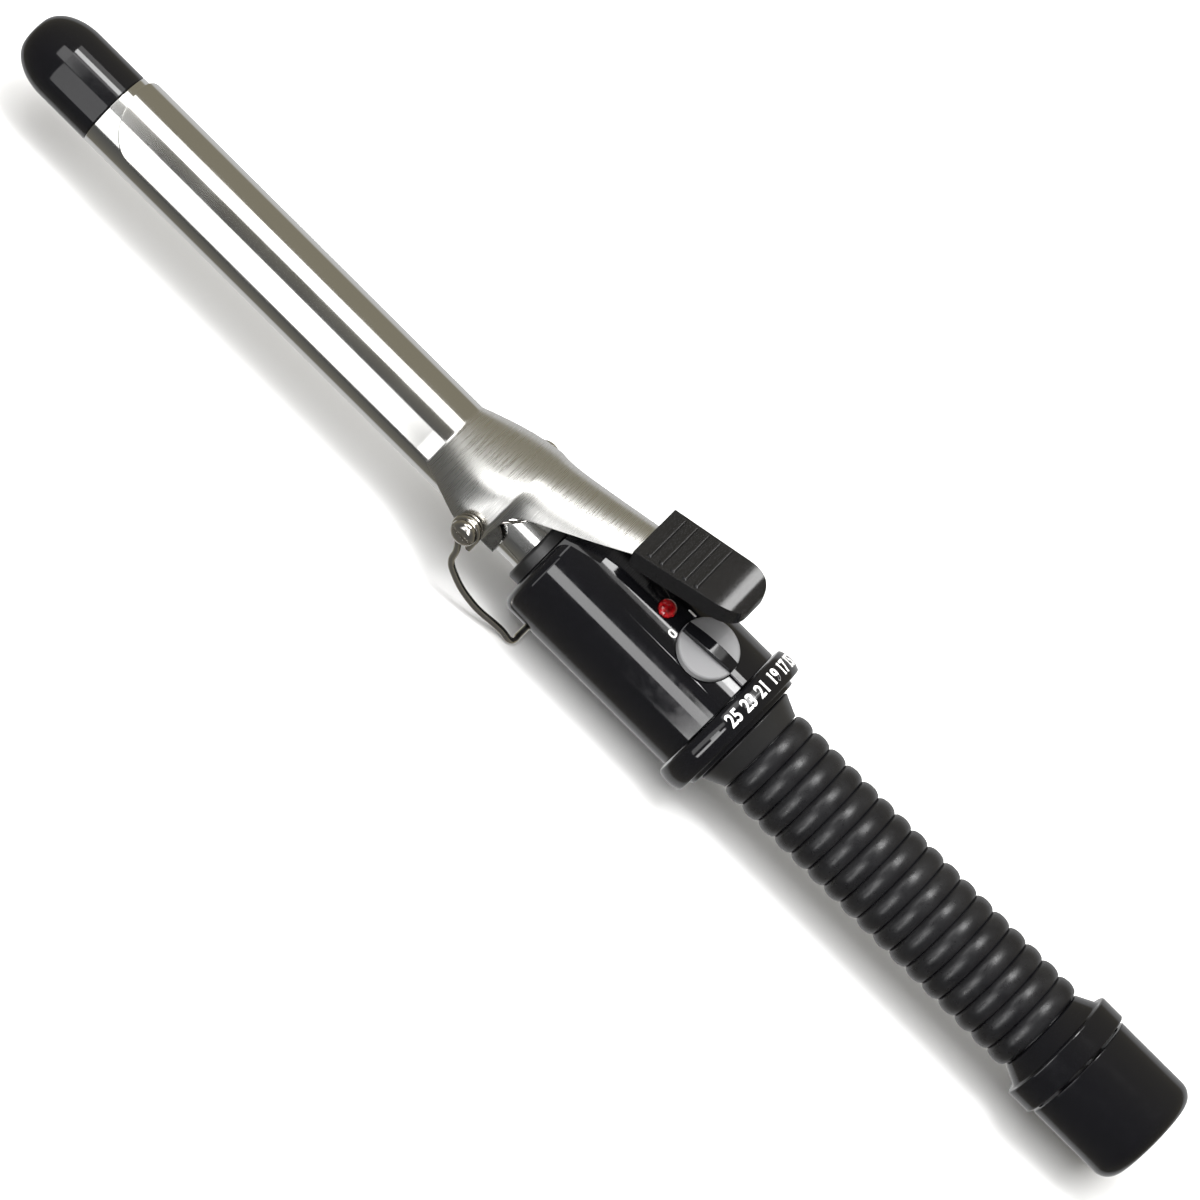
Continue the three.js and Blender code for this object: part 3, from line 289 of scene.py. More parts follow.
def tinted(made, source, low, high):
    """The base colour runs from low to high with the source value."""
    tree = made.node_tree
    ramp = tree.nodes.new("ShaderNodeValToRGB")
    ramp.color_ramp.elements[0].position = 0.3
    ramp.color_ramp.elements[1].position = 0.7
    ramp.color_ramp.elements[0].color = (*low, 1)
    ramp.color_ramp.elements[1].color = (*high, 1)
    tree.links.new(source, ramp.inputs["Fac"])
    into(made, "Base Color", ramp.outputs["Color"])


print("helpers ready")

# %% [markdown]
# ## The metals
# The barrel and the part of the clip that hugs it are polished and plated, so they are mirrors
# with a very fine grain along the tube. The clip is one sheet, and its lever is left brushed
# across, so one material serves both: its grain and roughness change where the sheet bends away
# from the barrel. Wire and screws are nickel, which is a little yellower than chrome.

# %% Chrome, brushed steel, nickel and the metals inside
LEVER_AHEAD = 17.1 * MM  # the lever bends away from the barrel this far ahead of the pivot
bend_x = pivot.x - LEVER_AHEAD


def polished_chrome():
    made = finish("chrome", (0.80, 0.80, 0.785), metallic=1)
    along = grain(made, 0.25 * MM, detail=2, stretch=(60, 1, 1))
    clouds = grain(made, 14 * MM, detail=3, stretch=(2, 1, 1))
    into(made, "Roughness", ranged(made, clouds, 0.10, 0.13))
    bump(made, along, 0.0002 * MM)
    return made


def clip_metal():
    made = finish("clip_chrome_and_brushed", (0.78, 0.775, 0.755), metallic=1)
    tree = made.node_tree
    place = tree.nodes.new("ShaderNodeTexCoord")
    split = tree.nodes.new("ShaderNodeSeparateXYZ")
    tree.links.new(place.outputs["Object"], split.inputs[0])
    on_lever = ranged(made, split.outputs["X"], 0, 1, bend_x - 0.4 * MM, bend_x + 0.6 * MM)
    streaks = grain(made, 0.22 * MM, detail=4, stretch=(1, 40, 40))
    rough = ranged(made, streaks, 0.24, 0.33)
    clouds = ranged(made, grain(made, 14 * MM), 0.09, 0.13)
    mix = tree.nodes.new("ShaderNodeMix")
    tree.links.new(on_lever, mix.inputs["Factor"])
    tree.links.new(clouds, mix.inputs["A"])
    tree.links.new(rough, mix.inputs["B"])
    into(made, "Roughness", mix.outputs["Result"])
    height = tree.nodes.new("ShaderNodeMath")
    height.operation = "MULTIPLY"
    tree.links.new(streaks, height.inputs[0])
    tree.links.new(on_lever, height.inputs[1])
    bump(made, height.outputs[0], 0.0012 * MM)
    return made


def wire_nickel():
    made = finish("nickel", (0.72, 0.695, 0.65), metallic=1)
    into(made, "Roughness", ranged(made, grain(made, 1.5 * MM), 0.10, 0.2))
    bump(made, grain(made, 0.3 * MM), 0.002 * MM)
    return made


def plain_metal(name, colour, low, high, spot=1.0):
    made = finish(name, colour, metallic=1)
    into(made, "Roughness", ranged(made, grain(made, spot * MM), low, high))
    return made


chrome = polished_chrome()
clip_chrome = clip_metal()
nickel = wire_nickel()
bracket_steel = plain_metal("bracket_steel", (0.42, 0.42, 0.415), 0.24, 0.36)
aluminium = plain_metal("aluminium", (0.62, 0.63, 0.64), 0.32, 0.48)
copper = plain_metal("copper", (0.66, 0.34, 0.17), 0.24, 0.4)
print("metals:", [m.name for m in (chrome, clip_chrome, nickel, bracket_steel, aluminium, copper)])

# %% [markdown]
# ## The plastics and the rubber
# The housing, dial, flange and cap come out of a polished mould: nearly black, a hard gloss, and a
# faint orange peel that softens a reflection's edge. The collar, the thumb press and the handle
# core come out of an etched mould and are satin. The grip is a soft rubber with a fine grain and a
# dull sheen. The lens is a clear red plastic over a small bright bead.


# %% Black plastics, rubber, grey plastic, lens, print and the insulators
def moulded(name, colour, low, high, peel=0.0015, spot=2.5):
    made = finish(name, colour)
    into(made, "Roughness", ranged(made, grain(made, spot * MM), low, high))
    bump(made, grain(made, spot * MM, detail=2), peel * MM)
    return made


def grip_rubber():
    made = finish("rubber", (0.009, 0.009, 0.010), Specular_IOR_Level=0.4)
    tinted(made, grain(made, 6 * MM), (0.006, 0.006, 0.007), (0.012, 0.012, 0.013))
    into(made, "Roughness", ranged(made, grain(made, 1.2 * MM), 0.26, 0.36))
    bump(made, grain(made, 0.18 * MM, detail=2), 0.008 * MM)
    return made


def red_lens():
    made = finish("red_lens", (0.30, 0.002, 0.006), Coat_Weight=1.0, Coat_Roughness=0.04)
    rings = grain(made, 0.9 * MM, detail=1)
    tinted(made, rings, (0.10, 0.001, 0.002), (0.42, 0.006, 0.010))
    into(made, "Roughness", ranged(made, rings, 0.1, 0.25))
    return made


gloss_black = moulded("gloss_black", (0.0045, 0.0045, 0.0055), 0.05, 0.1)
satin_black = moulded("satin_black", (0.012, 0.012, 0.0125), 0.3, 0.38, peel=0.004, spot=0.35)
press_black = moulded("press_black", (0.006, 0.006, 0.0065), 0.12, 0.18, peel=0.002, spot=0.5)
rubber = grip_rubber()
grey_plastic = moulded("grey_plastic", (0.17, 0.17, 0.175), 0.36, 0.46, peel=0.006, spot=0.3)
lens_red = red_lens()
white_print = moulded("white_print", (0.78, 0.78, 0.77), 0.4, 0.55, peel=0.001, spot=0.4)
ceramic = moulded("ceramic", (0.78, 0.76, 0.70), 0.6, 0.75, peel=0.01, spot=0.5)
insulation = moulded("insulation", (0.66, 0.63, 0.56), 0.65, 0.8, peel=0.01, spot=0.6)
board_green = moulded("board", (0.03, 0.11, 0.045), 0.4, 0.55, peel=0.004, spot=0.8)
print("plastics ready")

# %% [markdown]
# ## Finishes on the parts that stay
# What is inside the iron, and the small hardware whose shape is right already, stays as the frame
# has it. Each one gets the finish of its own slot, so that the iron is right when its casing is
# taken off too.

# %% Give every frame node the finish of its slot
FINISH_OF_SLOT = {
    "chrome": chrome,
    "brushed_steel": bracket_steel,
    "nickel": nickel,
    "gloss_black": gloss_black,
    "satin_black": satin_black,
    "rubber": rubber,
    "grey_plastic": grey_plastic,
    "red_lens": lens_red,
    "board": board_green,
    "ceramic": ceramic,
    "insulation": insulation,
    "aluminium": aluminium,
    "copper": copper,
}
SLOTS = {
    "brushed_steel": ["pivot_bracket"],
    "nickel": [
        "thermal_fuse", "bracket_rivet_1", "bracket_rivet_2", "housing_screw", "core_screw_1", "core_screw_2",
    ],
    "satin_black": ["bulkhead", "handle_core", "swivel_core", "switch_body", "triac", "capacitor"],
    "board": ["circuit_board", "rheostat_track"],
    "aluminium": ["heat_spreader_upper", "heat_spreader_lower"],
    "copper": [
        "brush_contact_live", "brush_contact_neutral", "slip_ring_live", "slip_ring_neutral", "dial_wiper",
    ],
    "ceramic": ["heater_element"],
    "red_lens": ["led_diode"],
}


def clothe(node, made):
    mesh = frame["nodes"][node].data
    mesh.materials.clear()
    mesh.materials.append(made)


for node in frame["nodes"]:
    clothe(node, insulation)
for slot, nodes in SLOTS.items():
    for node in nodes:
        clothe(node, FINISH_OF_SLOT[slot])
print("finished", len(frame["nodes"]), "frame nodes")

# %% [markdown]
# ## How a round piece is turned
# Most of the iron is round about its own axis, as if it came off a lathe. In Blender a ring of
# vertices is stood on end, extruded a step along the axis, and scaled to the next radius, again and
# again, as a turner moves the tool along the work. A modelled edge is then broken with a bevel,
# because a real edge always catches a thin line of light.

# %% Turning, placing and finishing helpers
SIDES = 128
MERGE = 1e-6
made_pieces = []


def rest():
    """Leaves edit mode and deselects everything."""
    if bpy.context.mode != "OBJECT":
        bpy.ops.object.mode_set(mode="OBJECT")
    bpy.ops.object.select_all(action="DESELECT")


def only(piece):
    rest()
    piece.select_set(True)
    bpy.context.view_layer.objects.active = piece


def close_up(piece):
    """Merges doubles, closes open ends and turns every face outwards."""
    only(piece)
    bpy.ops.object.mode_set(mode="EDIT")
    bpy.ops.mesh.select_all(action="SELECT")
    bpy.ops.mesh.remove_doubles(threshold=MERGE)
    bpy.ops.mesh.select_all(action="SELECT")
    bpy.ops.mesh.fill_holes(sides=0)
    bpy.ops.mesh.select_all(action="SELECT")
    bpy.ops.mesh.normals_make_consistent(inside=False)
    rest()


def put(piece, location=(0, 0, AXIS), rotation=(0, 0, 0)):
    """Moves a piece that was made at the origin, and keeps the place in its mesh."""
    only(piece)
    piece.rotation_euler = rotation
    piece.location = location
    bpy.ops.object.transform_apply(location=True, rotation=True, scale=True)
    return piece


def turned(name, profile, sides=SIDES, hollow=True):
    """A solid of revolution about the X axis from (x, radius) points. A hollow one ends where it starts."""
    rest()
    x, radius = profile[0]
    bpy.ops.mesh.primitive_circle_add(
        vertices=sides, radius=radius, location=(x, 0, 0), rotation=(0, pi / 2, 0)
    )
    piece = bpy.context.object
    piece.name = name
    bpy.ops.object.transform_apply(location=True, rotation=True, scale=True)
    bpy.ops.object.mode_set(mode="EDIT")
    bpy.ops.mesh.select_all(action="SELECT")
    path = [*profile, profile[0]] if hollow else profile
    for (x_from, r_from), (x_to, r_to) in zip(path, path[1:]):
        bpy.ops.mesh.extrude_region_move(TRANSFORM_OT_translate={"value": (x_to - x_from, 0, 0)})
        bpy.ops.transform.resize(value=(1, r_to / r_from, r_to / r_from), center_override=(x_to, 0, 0))
    close_up(piece)
    return piece


def modified(piece, kind, **settings):
    """Adds a modifier and applies it."""
    only(piece)
    bpy.ops.object.modifier_add(type=kind)
    modifier = piece.modifiers[-1]
    for setting, value in settings.items():
        setattr(modifier, setting, value)
    bpy.ops.object.modifier_apply(modifier=modifier.name)
    return piece


def broken_edges(piece, width, segments=3, angle=35):
    return modified(
        piece, "BEVEL", width=width, segments=segments, limit_method="ANGLE", angle_limit=radians(angle)
    )


def worked_with(tool, piece, operation):
    """Cuts, joins or trims a piece with a tool, and throws the tool away."""
    modified(piece, "BOOLEAN", operation=operation, solver="EXACT", object=tool)
    bpy.data.objects.remove(tool)
    return piece


def cut(piece, tool):
    return worked_with(tool, piece, "DIFFERENCE")


def joined(piece, tool):
    return worked_with(tool, piece, "UNION")


def kept(piece, tool):
    return worked_with(tool, piece, "INTERSECT")


def done(piece, made, body, slot, *nodes, smooth=40):
    """Smooths a piece, gives it its finish, and hangs it on its body."""
    only(piece)
    bpy.ops.object.shade_smooth_by_angle(angle=radians(smooth))
    modified(piece, "WEIGHTED_NORMAL", keep_sharp=True, weight=80)  # so that straight walls reflect straight
    piece.data.materials.clear()
    piece.data.materials.append(made)
    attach(piece, body)
    if nodes:
        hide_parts(*nodes)
    made_pieces.append(piece)
    low = [round(min(v.co[i] for v in piece.data.vertices) / MM, 2) for i in range(3)]
    high = [round(max(v.co[i] for v in piece.data.vertices) / MM, 2) for i in range(3)]
    print(piece.name, "from", low, "to", high, "mm,", len(piece.data.polygons), "faces")
    return piece


def quarter_round(start, end, steps=8, steep="first"):
    """Points of a quarter ellipse from start to end, steep at its first or its last end."""
    (x0, r0), (x1, r1) = start, end
    points = []
    for i in range(steps + 1):
        turn = pi / 2 * i / steps
        along, across = (1 - cos(turn), sin(turn)) if steep == "first" else (sin(turn), 1 - cos(turn))
        points.append((x0 + (x1 - x0) * along, r0 + (r1 - r0) * across))
    return points


# %% [markdown]
# ## The barrel and its cool tip
# The barrel is a plain plated tube with a rounded lip. The cool tip is the moulded end that the
# fingers hold: a straight skirt as wide as the barrel, a dome, and a small flat at the end of it.
# Its spigot goes into the barrel, which is why the two meet at a fine line.

# %% Barrel and cool tip
BARREL_WALL = 0.7 * MM
TIP_DOME = 10.9 * MM
TIP_NOSE = 2.6 * MM
TIP_WALL = 1.6 * MM
barrel_from, barrel_to, barrel_radius = ends("barrel")
tip_from, spigot_to, _ = ends("cool_tip")
tip_to = barrel_from - GAP / 2


def make_barrel():
    inner = barrel_radius - BARREL_WALL
    piece = turned("barrel_tube", [
        (barrel_from, barrel_radius),
        (barrel_to, barrel_radius),
        (barrel_to, inner),
        (barrel_from, inner),
    ])
    broken_edges(put(piece), 0.2 * MM)
    return done(piece, chrome, "handle", "chrome", "barrel")


def make_cool_tip():
    spigot = barrel_radius - BARREL_WALL - GAP
    dome = quarter_round((tip_from, TIP_NOSE), (tip_from + TIP_DOME, barrel_radius), steps=20)
    piece = turned("cool_tip_moulding", [
        *dome,
        (tip_to, barrel_radius),
        (tip_to, spigot),
        (spigot_to, spigot),
        (spigot_to, spigot - TIP_WALL),
        (tip_from + TIP_DOME, spigot - TIP_WALL),
    ], hollow=False)
    broken_edges(put(piece), 0.25 * MM)
    return done(piece, gloss_black, "handle", "gloss_black", "cool_tip")


make_barrel()
make_cool_tip()

# %% [markdown]
# ## The collar and the housing
# The collar is a satin ring where the hot barrel goes into the cool handle. Behind it the housing
# is a thin gloss shell with a rounded front shoulder. The switch sits in a round well that is sunk
# square to the top of the housing, so a turned shell alone isn't enough: the well, the lamp hole
# and the screw hole are cut into it with booleans, as a mould's side cores would make them.

# %% Collar, housing and the cuts in it
COLLAR_LENGTH = 3.2 * MM
COLLAR_NOSE = 0.9 * MM
SPIGOT_WALL = 1.4 * MM
HOUSING_WALL = 1.9 * MM
HOUSING_NOSE = 2.5 * MM
KNOB_TOP = 0.82 * MM
KNOB_THICKNESS = 2 * MM
SEAT_FLOOR = 1 * MM
SEAT_BELOW = 0.35 * MM  # the seat round the switch stays this far inside the housing's skin
SKIN = 0.2 * MM
SEAT_BEHIND = 3.9 * MM
KNOB_STEM_HOLE = 2.3 * MM
SCREW_HOLE = 2.4 * MM
RELIEF_DEPTH = 2.08 * MM
RELIEF_SLOPE = 0.22  # its floor rises to the rear as the opened lever does
RELIEF_LENGTH = 9.4 * MM
RELIEF_FRONT = 21.4 * MM
RELIEF_REAR = 17 * MM
collar_from, collar_to, collar_radius = ends("front_collar")
housing_from, housing_to, housing_radius = ends("housing_shell")
knob_radius = ends("switch_disc")[1] - knob_pin.x
CONTROL_AXIS = Vector(joints["switch_turn"]["axis"]).normalized()
lamp_x = (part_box("led_lens")[0].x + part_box("led_lens")[1].x) / 2
LAMP_RADIUS = 2.2 * MM
knob_base = housing_radius + KNOB_TOP - KNOB_THICKNESS


def about_controls(piece, x):
    """Stands a piece that was turned about X on the line of the controls, at x along the iron."""
    lean = Vector((1, 0, 0)).rotation_difference(CONTROL_AXIS).to_euler()
    return put(piece, (x, 0, AXIS), lean)


def make_collar():
    bore = barrel_radius + GAP
    spigot = bore + SPIGOT_WALL
    nose = quarter_round(
        (collar_from, collar_radius - COLLAR_NOSE), (collar_from + COLLAR_NOSE, collar_radius), steps=6
    )
    piece = turned("barrel_collar", [
        (collar_from, bore),
        *nose,
        (collar_from + COLLAR_LENGTH, collar_radius),
        (collar_from + COLLAR_LENGTH, spigot),
        (collar_to, spigot),
        (collar_to, bore),
    ])
    broken_edges(put(piece), 0.2 * MM)
    return done(piece, satin_black, "handle", "satin_black", "front_collar")


def lever_relief():
    """A shallow saddle in the front shoulder, where the lever's edges sink when the clip is opened."""
    start, end = housing_from - MM, housing_from + RELIEF_LENGTH
    rest()
    bpy.ops.mesh.primitive_cube_add(size=1, location=((start + end) / 2, 0, housing_radius))
    plan = bpy.context.object
    plan.scale = (end - start, RELIEF_FRONT, 2 * housing_radius)
    bpy.ops.object.transform_apply(location=True, rotation=True, scale=True)
    for vertex in plan.data.vertices:
        if vertex.co.x > housing_from:
            vertex.co.y *= RELIEF_REAR / RELIEF_FRONT

    def floor(x):
        return housing_radius - RELIEF_DEPTH + RELIEF_SLOPE * (x - housing_from)

    front, rear, clear = start - MM, end + MM, 3 * housing_radius
    outside = turned("outside", [
        (front, floor(front)), (front, clear), (rear, clear), (rear, floor(rear)),
    ], sides=192)
    return put(kept(plan, outside))


def make_housing():
    bore = barrel_radius + GAP + SPIGOT_WALL + GAP
    inner = housing_radius - HOUSING_WALL
    shoulder = quarter_round(
        (housing_from, housing_radius - HOUSING_NOSE), (housing_from + HOUSING_NOSE, housing_radius), steps=10
    )
    piece = turned("housing_casing", [
        (housing_from, bore),
        *shoulder,
        (housing_to, housing_radius),
        (housing_to, inner),
        (housing_from + HOUSING_WALL, inner),
        (housing_from + HOUSING_WALL, bore),
    ], sides=192)
    broken_edges(put(piece), 0.25 * MM)
    knob_hole = knob_radius + GAP
    seat = about_controls(
        turned("seat", [
            (knob_base - GAP - SEAT_FLOOR, knob_hole + SEAT_FLOOR),
            (housing_radius - SEAT_BELOW, knob_hole + SEAT_FLOOR),
        ], sides=96, hollow=False),
        knob_pin.x,
    )
    limit = put(turned("limit", [
        (housing_from + HOUSING_NOSE, housing_radius - SKIN),
        (housing_to - SEAT_BEHIND, housing_radius - SKIN),
    ], sides=96, hollow=False))
    joined(piece, kept(seat, limit))
    cut(piece, lever_relief())
    for x, radius, floor in (
        (knob_pin.x, knob_hole, knob_base - GAP),
        (knob_pin.x, KNOB_STEM_HOLE, 0.5 * inner),
        (lamp_x, LAMP_RADIUS + GAP / 2, 0.5 * inner),
    ):
        well = turned("well", [(floor, radius), (2 * housing_radius, radius)], sides=96, hollow=False)
        cut(piece, about_controls(well, x))
    screw_x = (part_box("housing_screw")[0].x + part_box("housing_screw")[1].x) / 2
    well = turned("well", [(0, SCREW_HOLE), (2 * housing_radius, SCREW_HOLE)], sides=48, hollow=False)
    cut(piece, put(well, (screw_x, 0, AXIS), (0, pi / 2, 0)))
    return done(piece, gloss_black, "handle", "gloss_black", "housing_shell")


make_collar()
make_housing()

# %% [markdown]
# ## The dial and its numbers
# The heat dial is a gloss ring with a softly crowned edge, and a thinner rim behind it. Odd numbers
# are printed round it for the heat settings, each with its top towards the tip of the iron. Each
# number is a text made solid, stood on the crown of the ring and turned on round it; it sinks a
# hair into the plastic, as pad printing does.

# %% Dial ring and numbers
DIAL_CROWN = 0.75 * MM
DIAL_LENGTH = 6.2 * MM
DIAL_RIM_RADIUS = 15.8 * MM
DIAL_BORE = 11.2 * MM
NUMBER_HEIGHT = 3.15 * MM
NUMBER_NARROW = 0.8  # condensed figures
NUMBER_SUNK = 0.09 * MM
PRINT_THICKNESS = 0.12 * MM
PRINT_WEIGHT = 0.035  # how much the strokes are thickened, as a part of the height
CAPITALS = 0.7  # capitals are seven tenths of the type size
NUMBERS = 13
NUMBER_STEP = radians(13.9)
FIRST_NUMBER = 25
FIRST_TURN = radians(41.7)  # of the first number, from the top of the dial towards the front
dial_from, rim_to, dial_radius = ends("dial_ring")


def make_dial():
    crown = [
        (dial_from + DIAL_LENGTH * share, dial_radius - DIAL_CROWN * (2 * share - 1) ** 2)
        for share in (0, 0.1, 0.2, 0.35, 0.5, 0.65, 0.8, 0.9, 1)
    ]
    piece = turned("heat_dial_ring", [
        (dial_from, DIAL_BORE),
        *crown,
        (dial_from + DIAL_LENGTH, DIAL_RIM_RADIUS),
        (rim_to, DIAL_RIM_RADIUS),
        (rim_to, DIAL_BORE),
    ], sides=192)
    broken_edges(put(piece), 0.3 * MM)
    return done(piece, gloss_black, "heat_dial", "gloss_black", "dial_ring")


def printed(name, body, height, x, radius, turn, narrow=1.0):
    """Raised print standing on a round surface, at a turn from its top towards the front."""
    rest()
    bpy.ops.object.text_add()
    text = bpy.context.object
    text.name = name
    text.data.body = body
    text.data.size = height / CAPITALS
    text.data.align_x = "CENTER"
    text.data.align_y = "CENTER"
    text.data.extrude = PRINT_THICKNESS
    text.data.offset = PRINT_WEIGHT * height
    text.data.resolution_u = 5
    bpy.ops.object.convert(target="MESH")
    text.scale = (narrow, 1, 1)
    bpy.ops.object.transform_apply(location=True, rotation=True, scale=True)
    right = Vector((0, cos(turn), sin(turn)))
    out = Vector((0, -sin(turn), cos(turn)))
    up = out.cross(right)
    place = Matrix((right, up, out)).transposed().to_4x4()
    place.translation = Vector((x, 0, AXIS)) + out * radius
    text.matrix_world = place
    bpy.ops.object.transform_apply(location=True, rotation=True, scale=True)
    close_up(text)
    return text


make_dial()
for i in range(NUMBERS):
    figure = str(FIRST_NUMBER - 2 * i)
    number = printed(
        "dial_number_" + figure,
        figure,
        NUMBER_HEIGHT,
        dial_from + DIAL_LENGTH / 2,
        dial_radius - NUMBER_SUNK,
        FIRST_TURN - i * NUMBER_STEP,
        NUMBER_NARROW,
    )
    done(number, white_print, "heat_dial", "ceramic")

# %% [markdown]
# ## The power switch, its marks and the lamp
# The switch is a grey disc with a gloss black bar across it, crowned so that a thumb can push it
# round. It turns between two printed marks. The lamp is a clear red dome that stands just proud of
# the housing. A short raised line behind the switch shows which number of the dial is set.

# %% Switch, marks, lamp and pointer
BAR_WIDTH = 2.9 * MM
BAR_HEIGHT = 1.4 * MM
BAR_TURN = radians(4)
BAR_DROP = 0.6 * MM  # how much lower its top is at the ends
BAR_WAIST = 0.16
KNOB_STEM = 2 * MM
KNOB_STEM_LENGTH = 6 * MM
KNOB_EDGE = 0.35 * MM
KNOB_MIDDLE = 0.6 * MM
MARK_HEIGHT = 2.1 * MM
MARKS_AHEAD = 7.9 * MM
LAMP_DOME = 1.1 * MM
LAMP_PROUD = 0.2 * MM
LAMP_FLANGE = 3 * MM
LAMP_FLANGE_THICKNESS = 1.1 * MM
lamp_from = housing_radius - 4.1 * MM
control_turn = Vector((CONTROL_AXIS.z, -CONTROL_AXIS.y)).angle(Vector((1, 0)))


def make_knob():
    top = knob_base + KNOB_THICKNESS
    disc = turned("switch_knob_disc", [
        (knob_base - KNOB_STEM_LENGTH, KNOB_STEM),
        (knob_base, KNOB_STEM),
        (knob_base, knob_radius),
        (top - 0.25 * MM, knob_radius),
        (top, knob_radius - KNOB_EDGE),
        (top, KNOB_MIDDLE),
    ], sides=128, hollow=False)
    about_controls(broken_edges(disc, 0.15 * MM), knob_pin.x)
    done(disc, grey_plastic, "power_switch", "grey_plastic", "switch_disc")


def make_bar():
    """A bar whose top is an arc along its length, from end to end of the disc."""
    low = knob_base + KNOB_THICKNESS + GAP / 2
    half = knob_radius - 0.2 * MM
    rest()
    bpy.ops.mesh.primitive_cube_add(size=1, location=(0, 0, low + BAR_HEIGHT / 2))
    bar = bpy.context.object
    bar.name = "switch_knob_bar"
    bar.scale = (2 * half, BAR_WIDTH, BAR_HEIGHT)
    bpy.ops.object.transform_apply(location=True, rotation=True, scale=True)
    bpy.ops.object.mode_set(mode="EDIT")
    bpy.ops.mesh.select_all(action="SELECT")
    bpy.ops.mesh.subdivide(number_cuts=15)
    rest()
    for vertex in bar.data.vertices:
        share = vertex.co.x / half
        height = (vertex.co.z - low) / BAR_HEIGHT
        vertex.co.z -= height * BAR_DROP * share * share
        vertex.co.y *= 1 - BAR_WAIST * height * share * share
    broken_edges(bar, 0.3 * MM, segments=4, angle=50)
    put(bar, (0, 0, 0), (0, 0, BAR_TURN))
    put(bar, (knob_pin.x, 0, AXIS), (control_turn, 0, 0))
    done(bar, gloss_black, "power_switch", "gloss_black", "switch_bar")


def make_marks():
    for name, body, turn in (("mark_off", "0", radians(29)), ("mark_on", "I", radians(5))):
        mark = printed(name, body, MARK_HEIGHT, knob_pin.x - MARKS_AHEAD, housing_radius - 0.06 * MM, turn)
        done(mark, white_print, "handle", "ceramic")


def make_lamp():
    top = housing_radius + LAMP_PROUD
    flange_top = lamp_from + LAMP_FLANGE_THICKNESS
    turns = [pi / 2 * i / 10 for i in range(10)]
    lens = turned("lamp_lens", [
        (lamp_from, LAMP_FLANGE),
        (flange_top, LAMP_FLANGE),
        (flange_top, LAMP_RADIUS),
        *((top + LAMP_DOME * sin(turn), LAMP_RADIUS * cos(turn)) for turn in turns),
    ], sides=64, hollow=False)
    about_controls(lens, lamp_x)
    done(lens, lens_red, "handle", "red_lens", "led_lens")


def make_pointer():
    length, width, height = 5.4 * MM, 2 * MM, 1.4 * MM
    rest()
    bpy.ops.mesh.primitive_cube_add(size=1, location=(housing_to - length / 2, 0, housing_radius + 0.1 * MM))
    ridge = bpy.context.object
    ridge.name = "dial_pointer"
    ridge.scale = (length, width, height)
    bpy.ops.object.transform_apply(location=True, rotation=True, scale=True)
    broken_edges(ridge, 0.35 * MM, segments=4)
    put(ridge, (0, 0, AXIS), (control_turn, 0, 0))
    done(ridge, gloss_black, "handle", "gloss_black")


make_knob()
make_bar()
make_marks()
make_lamp()
make_pointer()

# %% [markdown]
# ## The grip
# The grip is a rubber sleeve of seventeen round ribs, side by side like rings on a rod, with a
# sharp valley between each two. It comes straight from its formula: the rib's outline is half an
# ellipse, repeated by a loop, and turned. The core that it is pulled over shows as a short satin
# neck between the dial and the first rib.

# %% Handle core, grip sleeve
RIBS = 17
GRIP_VALLEY = 10.9 * MM
GRIP_BORE = 9.6 * MM
CORE_SEAT = 10.9 * MM
CORE_TUBE = 9.3 * MM
CORE_BORE = 7.2 * MM
NECK_LENGTH = 5.3 * MM
NECK_REAR = 11.1 * MM
core_from, core_to, neck_radius = ends("handle_core")
grip_from, grip_to, grip_radius = ends("grip_sleeve")
neck_from = grip_from - GAP - NECK_LENGTH


def make_core():
    piece = turned("grip_core", [
        (core_from, CORE_BORE),
        (core_from, CORE_SEAT),
        (neck_from, CORE_SEAT),
        (neck_from, neck_radius - 0.4 * MM),
        (neck_from + 0.4 * MM, neck_radius),
        (neck_from + NECK_LENGTH, NECK_REAR),
        (neck_from + NECK_LENGTH, CORE_TUBE),
        (core_to, CORE_TUBE),
        (core_to, CORE_BORE),
    ])
    broken_edges(put(piece), 0.2 * MM)
    done(piece, satin_black, "handle", "satin_black", "handle_core")


def make_grip():
    pitch = (grip_to - grip_from) / RIBS
    rise = grip_radius - GRIP_VALLEY
    steps = 12
    profile = [(grip_from, GRIP_BORE)]
    for rib in range(RIBS):
        for i in range(steps + 1):
            share = (1 - cos(pi * i / steps)) / 2
            if rib and i == 0:
                continue
            lift = rise * sqrt(max(0, 1 - (2 * share - 1) ** 2))
            profile.append((grip_from + (rib + share) * pitch, GRIP_VALLEY + lift))
    profile.append((grip_to, GRIP_BORE))
    piece = put(turned("rubber_grip", profile, sides=112))
    done(piece, rubber, "handle", "rubber", "grip_sleeve", smooth=60)


make_core()
make_grip()

# %% [markdown]
# ## The end flange and the turning cap
# Behind the grip the handle flares into a gloss flange, and the cap behind it turns with the cord.
# The fine dark line between them is the joint. The cap is a thin cup with a rounded rear corner and
# a bushing in its middle for the cord.

# %% Flange, cap and bushing
FLARE_LENGTH = 4.8 * MM
FLARE_FRONT = 10.8 * MM
FLARE_REAR = 13.2 * MM
CAP_WALL = 1.6 * MM
CAP_CORNER = 4 * MM
BUSHING_BORE = 3.3 * MM
BUSHING_WALL = 1.3 * MM
flare_from, flange_to, flange_radius = ends("end_flange")
cap_from, cap_to, cap_radius = ends("swivel_cap")
bushing_from, bushing_to, bushing_flange = ends("cord_bushing")


